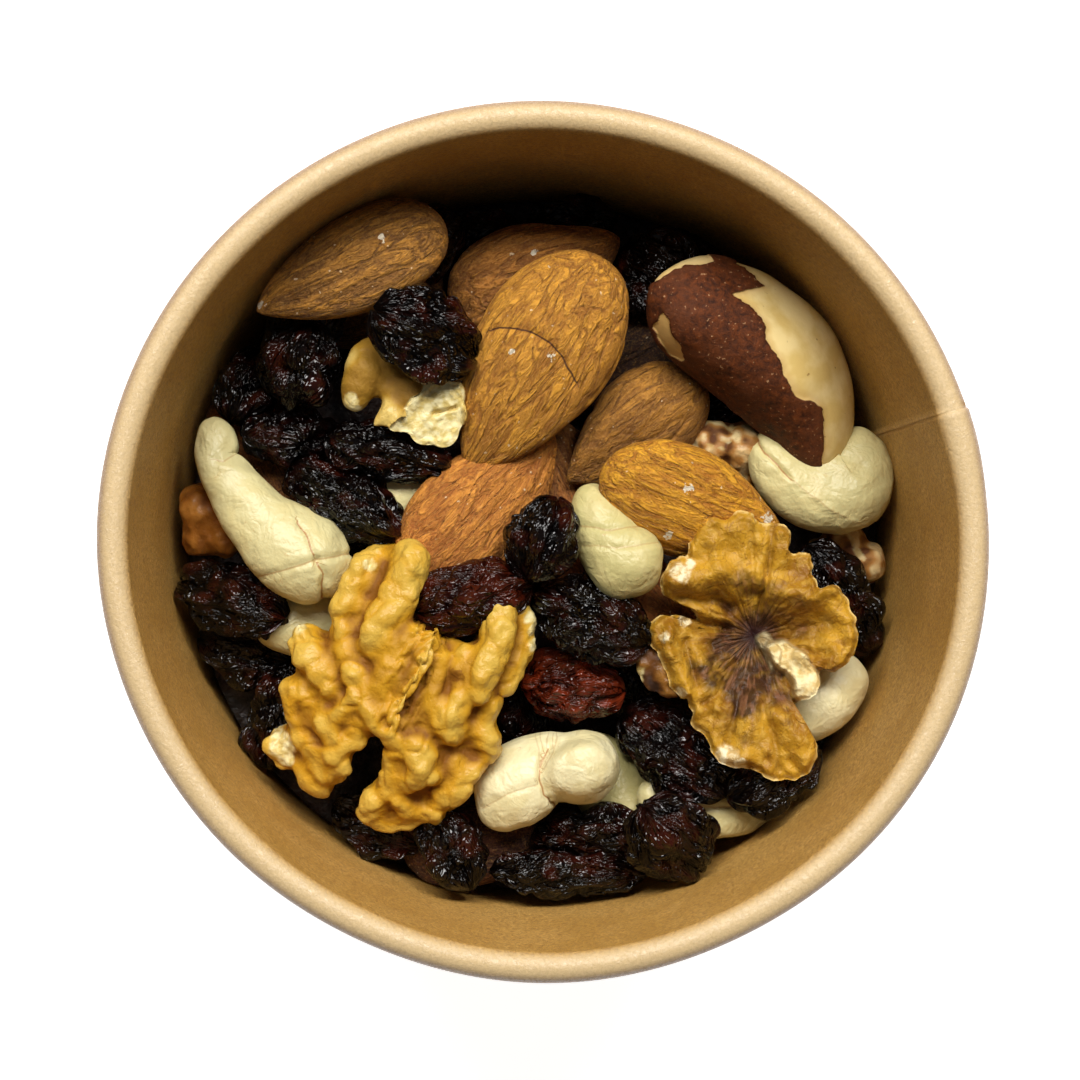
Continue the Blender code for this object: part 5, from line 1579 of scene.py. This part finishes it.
# Broken walnut: a bent piece at the upper left with a pale broken face, a chip by the left wall and
# two crumbs in the gaps. The bent piece is given as balls: x, y, how high, and radius.
CRUMB_ROWS = (20, 21)
CHIP_ROW = 22
ELBOW_ROW = 50
ELBOW_BALLS = (
    (-3.5, 6.0, -0.4, 1.2), (-3.9, 5.0, 0.2, 1.6), (-4.1, 3.8, 0.8, 2.0), (-4.3, 2.4, 0.9, 2.2),
    (-4.7, 1.0, 0.2, 2.0), (-5.0, -0.1, -0.6, 1.6), (-2.9, 3.6, 0.6, 1.8), (-1.7, 3.1, 0.9, 1.8),
    (-0.9, 2.4, 0.5, 1.6), (-2.4, 1.6, 0.0, 1.8), (0.0, 1.5, 0.3, 1.9), (-0.7, 0.3, 0.0, 1.7),
    (-0.9, -0.9, 0.0, 1.5), (-1.3, -2.2, 0.3, 1.3), (-2.2, -3.0, 0.2, 0.8), (-2.6, 5.2, -0.2, 1.7),
    (-1.6, 4.4, -0.2, 1.7), (-0.2, 3.2, 0.2, 1.8), (1.2, 2.4, 0.2, 1.7), (0.6, 0.8, 0.4, 1.8),
    (-2.9, -3.5, 0.0, 0.4), (0.6, -0.2, 0.6, 1.5), (1.6, 0.4, 0.8, 1.6), (3.2, 0.6, 1.0, 1.9),
    (5.0, 0.3, 0.8, 1.7), (4.0, -1.0, 1.2, 2.4), (4.9, -2.4, 1.0, 2.0), (2.6, -2.2, 1.1, 2.1),
    (3.6, -3.6, 0.9, 2.2), (4.6, -4.4, 0.4, 1.7), (1.2, -3.2, 0.8, 1.5), (2.4, -4.4, 0.4, 1.5),
    (0.0, -3.6, 0.5, 1.0), (-0.9, -3.8, 0.3, 0.7),
)
# From its resting place: the outline of its broken face, a crack in that, and two small pale chips
ELBOW_BROKEN = (
    (2.8, 2.3), (4.6, 2.3), (6.0, 1.6), (6.6, 0.6), (6.6, -1.1), (6.7, -4.3), (5.5, -5.9),
    (4.4, -6.3), (2.6, -5.9), (1.0, -5.1), (-0.6, -4.5), (-1.9, -4.2), (-1.1, -3.1), (-0.7, -2.6),
    (0.3, -2.4), (0.1, -1.4), (0.4, -0.8), (1.1, -0.1), (1.9, 0.4), (2.1, 1.4),
)
ELBOW_CRACK = ((3.1, -1.9), (4.3, -1.6), (5.5, -1.2))
ELBOW_CHIPS = ((-5.6, -0.6, 1.0), (-5.0, -1.4, 0.7))


def bit_form(row):
    """A crumb or chip: each lobe of the layout a row of ovals, fused."""
    size = np.array(LAYOUT[row][4:]) / 2
    middles, radii = [], []
    for x, y, turn, length, width, top in LOBES["crumb"]:
        offsets = np.linspace(-1, 1, 7)[:, None] * (length - width) / 2
        heading = (math.cos(math.radians(turn)), math.sin(math.radians(turn)), 0.0)
        middles.append(np.array([x, y, (top - size[2]) / 2]) + offsets * heading)
        radii.append(np.tile((width / 2, width / 2, (top + size[2]) / 2), (7, 1)))
    return one_skin(np.concatenate(middles), np.concatenate(radii), voxel=0.24)


def crumpled(skin, row, rough, even_out=4):
    """A fused skin evened out and given its relief. Gives what a piece is made of, with how far each
    point swells out, and streaks where it is broken and pale."""
    points, quads, triangles, edges = skin
    points = relaxed(points, edges, even_out)
    even = relaxed(points, edges, 30)
    away = normals_of(points, quads, triangles)
    swelling = np.einsum("ij,ij->i", points - even, away)
    relief = rough * noise(points / 2.0, row) + 0.4 * rough * noise(points / 0.8, row + 3)
    points = points + away * relief[:, None]
    pale = ease(noise(points / (2.0, 0.8, 0.8), row + 5), 0.35, 0.50)
    return points, quads, triangles, {"swelling": swelling, "pale": pale}


crumb_parts = []
for row in CRUMB_ROWS:
    points, *faces, marks = crumpled(bit_form(row), row, 0.5)
    marks["pale"] *= 0.4
    marks["swelling"] = marks["swelling"] + 0.9 * noise(points / 1.1, row + 8)
    crumb_parts.append((placed(points, row), *faces, marks))
crumb_skin = walnut_finish("walnut crumb", paint(88, 48, 16), paint(166, 116, 56), paint(222, 196, 142))
made_piece("walnut_crumbs", *gathered(crumb_parts), crumb_skin, "nuts_and_raisins", "trail_mix")

points, *faces, marks = crumpled(bit_form(CHIP_ROW), CHIP_ROW, 0.45, 24)
marks["pale"] *= 0.0
marks["swelling"] = marks["swelling"] + 0.5 * noise(points / (2.4, 0.9, 0.9), 30)
chip_skin = walnut_finish("walnut chip", paint(92, 46, 10), paint(156, 96, 32), paint(196, 134, 60))
made_piece("walnut_chip", placed(points, CHIP_ROW), *faces, marks, chip_skin,
           "nuts_and_raisins", "trail_mix")

c, s = math.cos(math.radians(LAYOUT[ELBOW_ROW][3])), math.sin(math.radians(LAYOUT[ELBOW_ROW][3]))
elbow = np.array(ELBOW_BALLS)
elbow[:, :2] = elbow[:, :2] @ np.array([[c, -s], [s, c]])
points, quads, triangles, marks = crumpled(
    one_skin(elbow[:, :3], np.repeat(elbow[:, 3:], 3, axis=1), voxel=0.17), ELBOW_ROW, 0.10, 16)
spots = placed(points, ELBOW_ROW) - rests[ELBOW_ROW][0]
broken = depth_inside(spots[:, :2], ELBOW_BROKEN) + 0.25 * noise(points / 0.7, 71)
broken = ease(broken, -0.1, 0.15) * ease(spots[:, 2], -1.0, 0.4)
spots = trimmed(spots, (0.15, -0.20, 1.0), 2.1, broken)
crack_off = line_distance(spots[:, :2], ELBOW_CRACK) + 0.1 * noise(points, 72)
crack = np.exp(-(crack_off / 0.2) ** 2)
spots[:, 2] += broken * (0.30 * noise(points / 1.3, 73) + 0.10 * noise(points / 0.45, 74) - 0.6 * crack)
chipped = spotted(spots, ELBOW_CHIPS, 0.2 * noise(points / 0.5, 76))
marks["pale"] = np.maximum(broken * (1 - 0.6 * crack), chipped)
marks["swelling"] = 0.9 * ease(noise(points / 3.2, 77), -0.4, 0.7) - 0.2 + 0.5 * marks["swelling"]
elbow_skin = walnut_finish("walnut piece", paint(112, 74, 12), paint(166, 126, 42), paint(212, 182, 102))
made_piece("walnut_piece", spots + rests[ELBOW_ROW][0], quads, triangles, marks, elbow_skin,
           "nuts_and_raisins", "trail_mix")
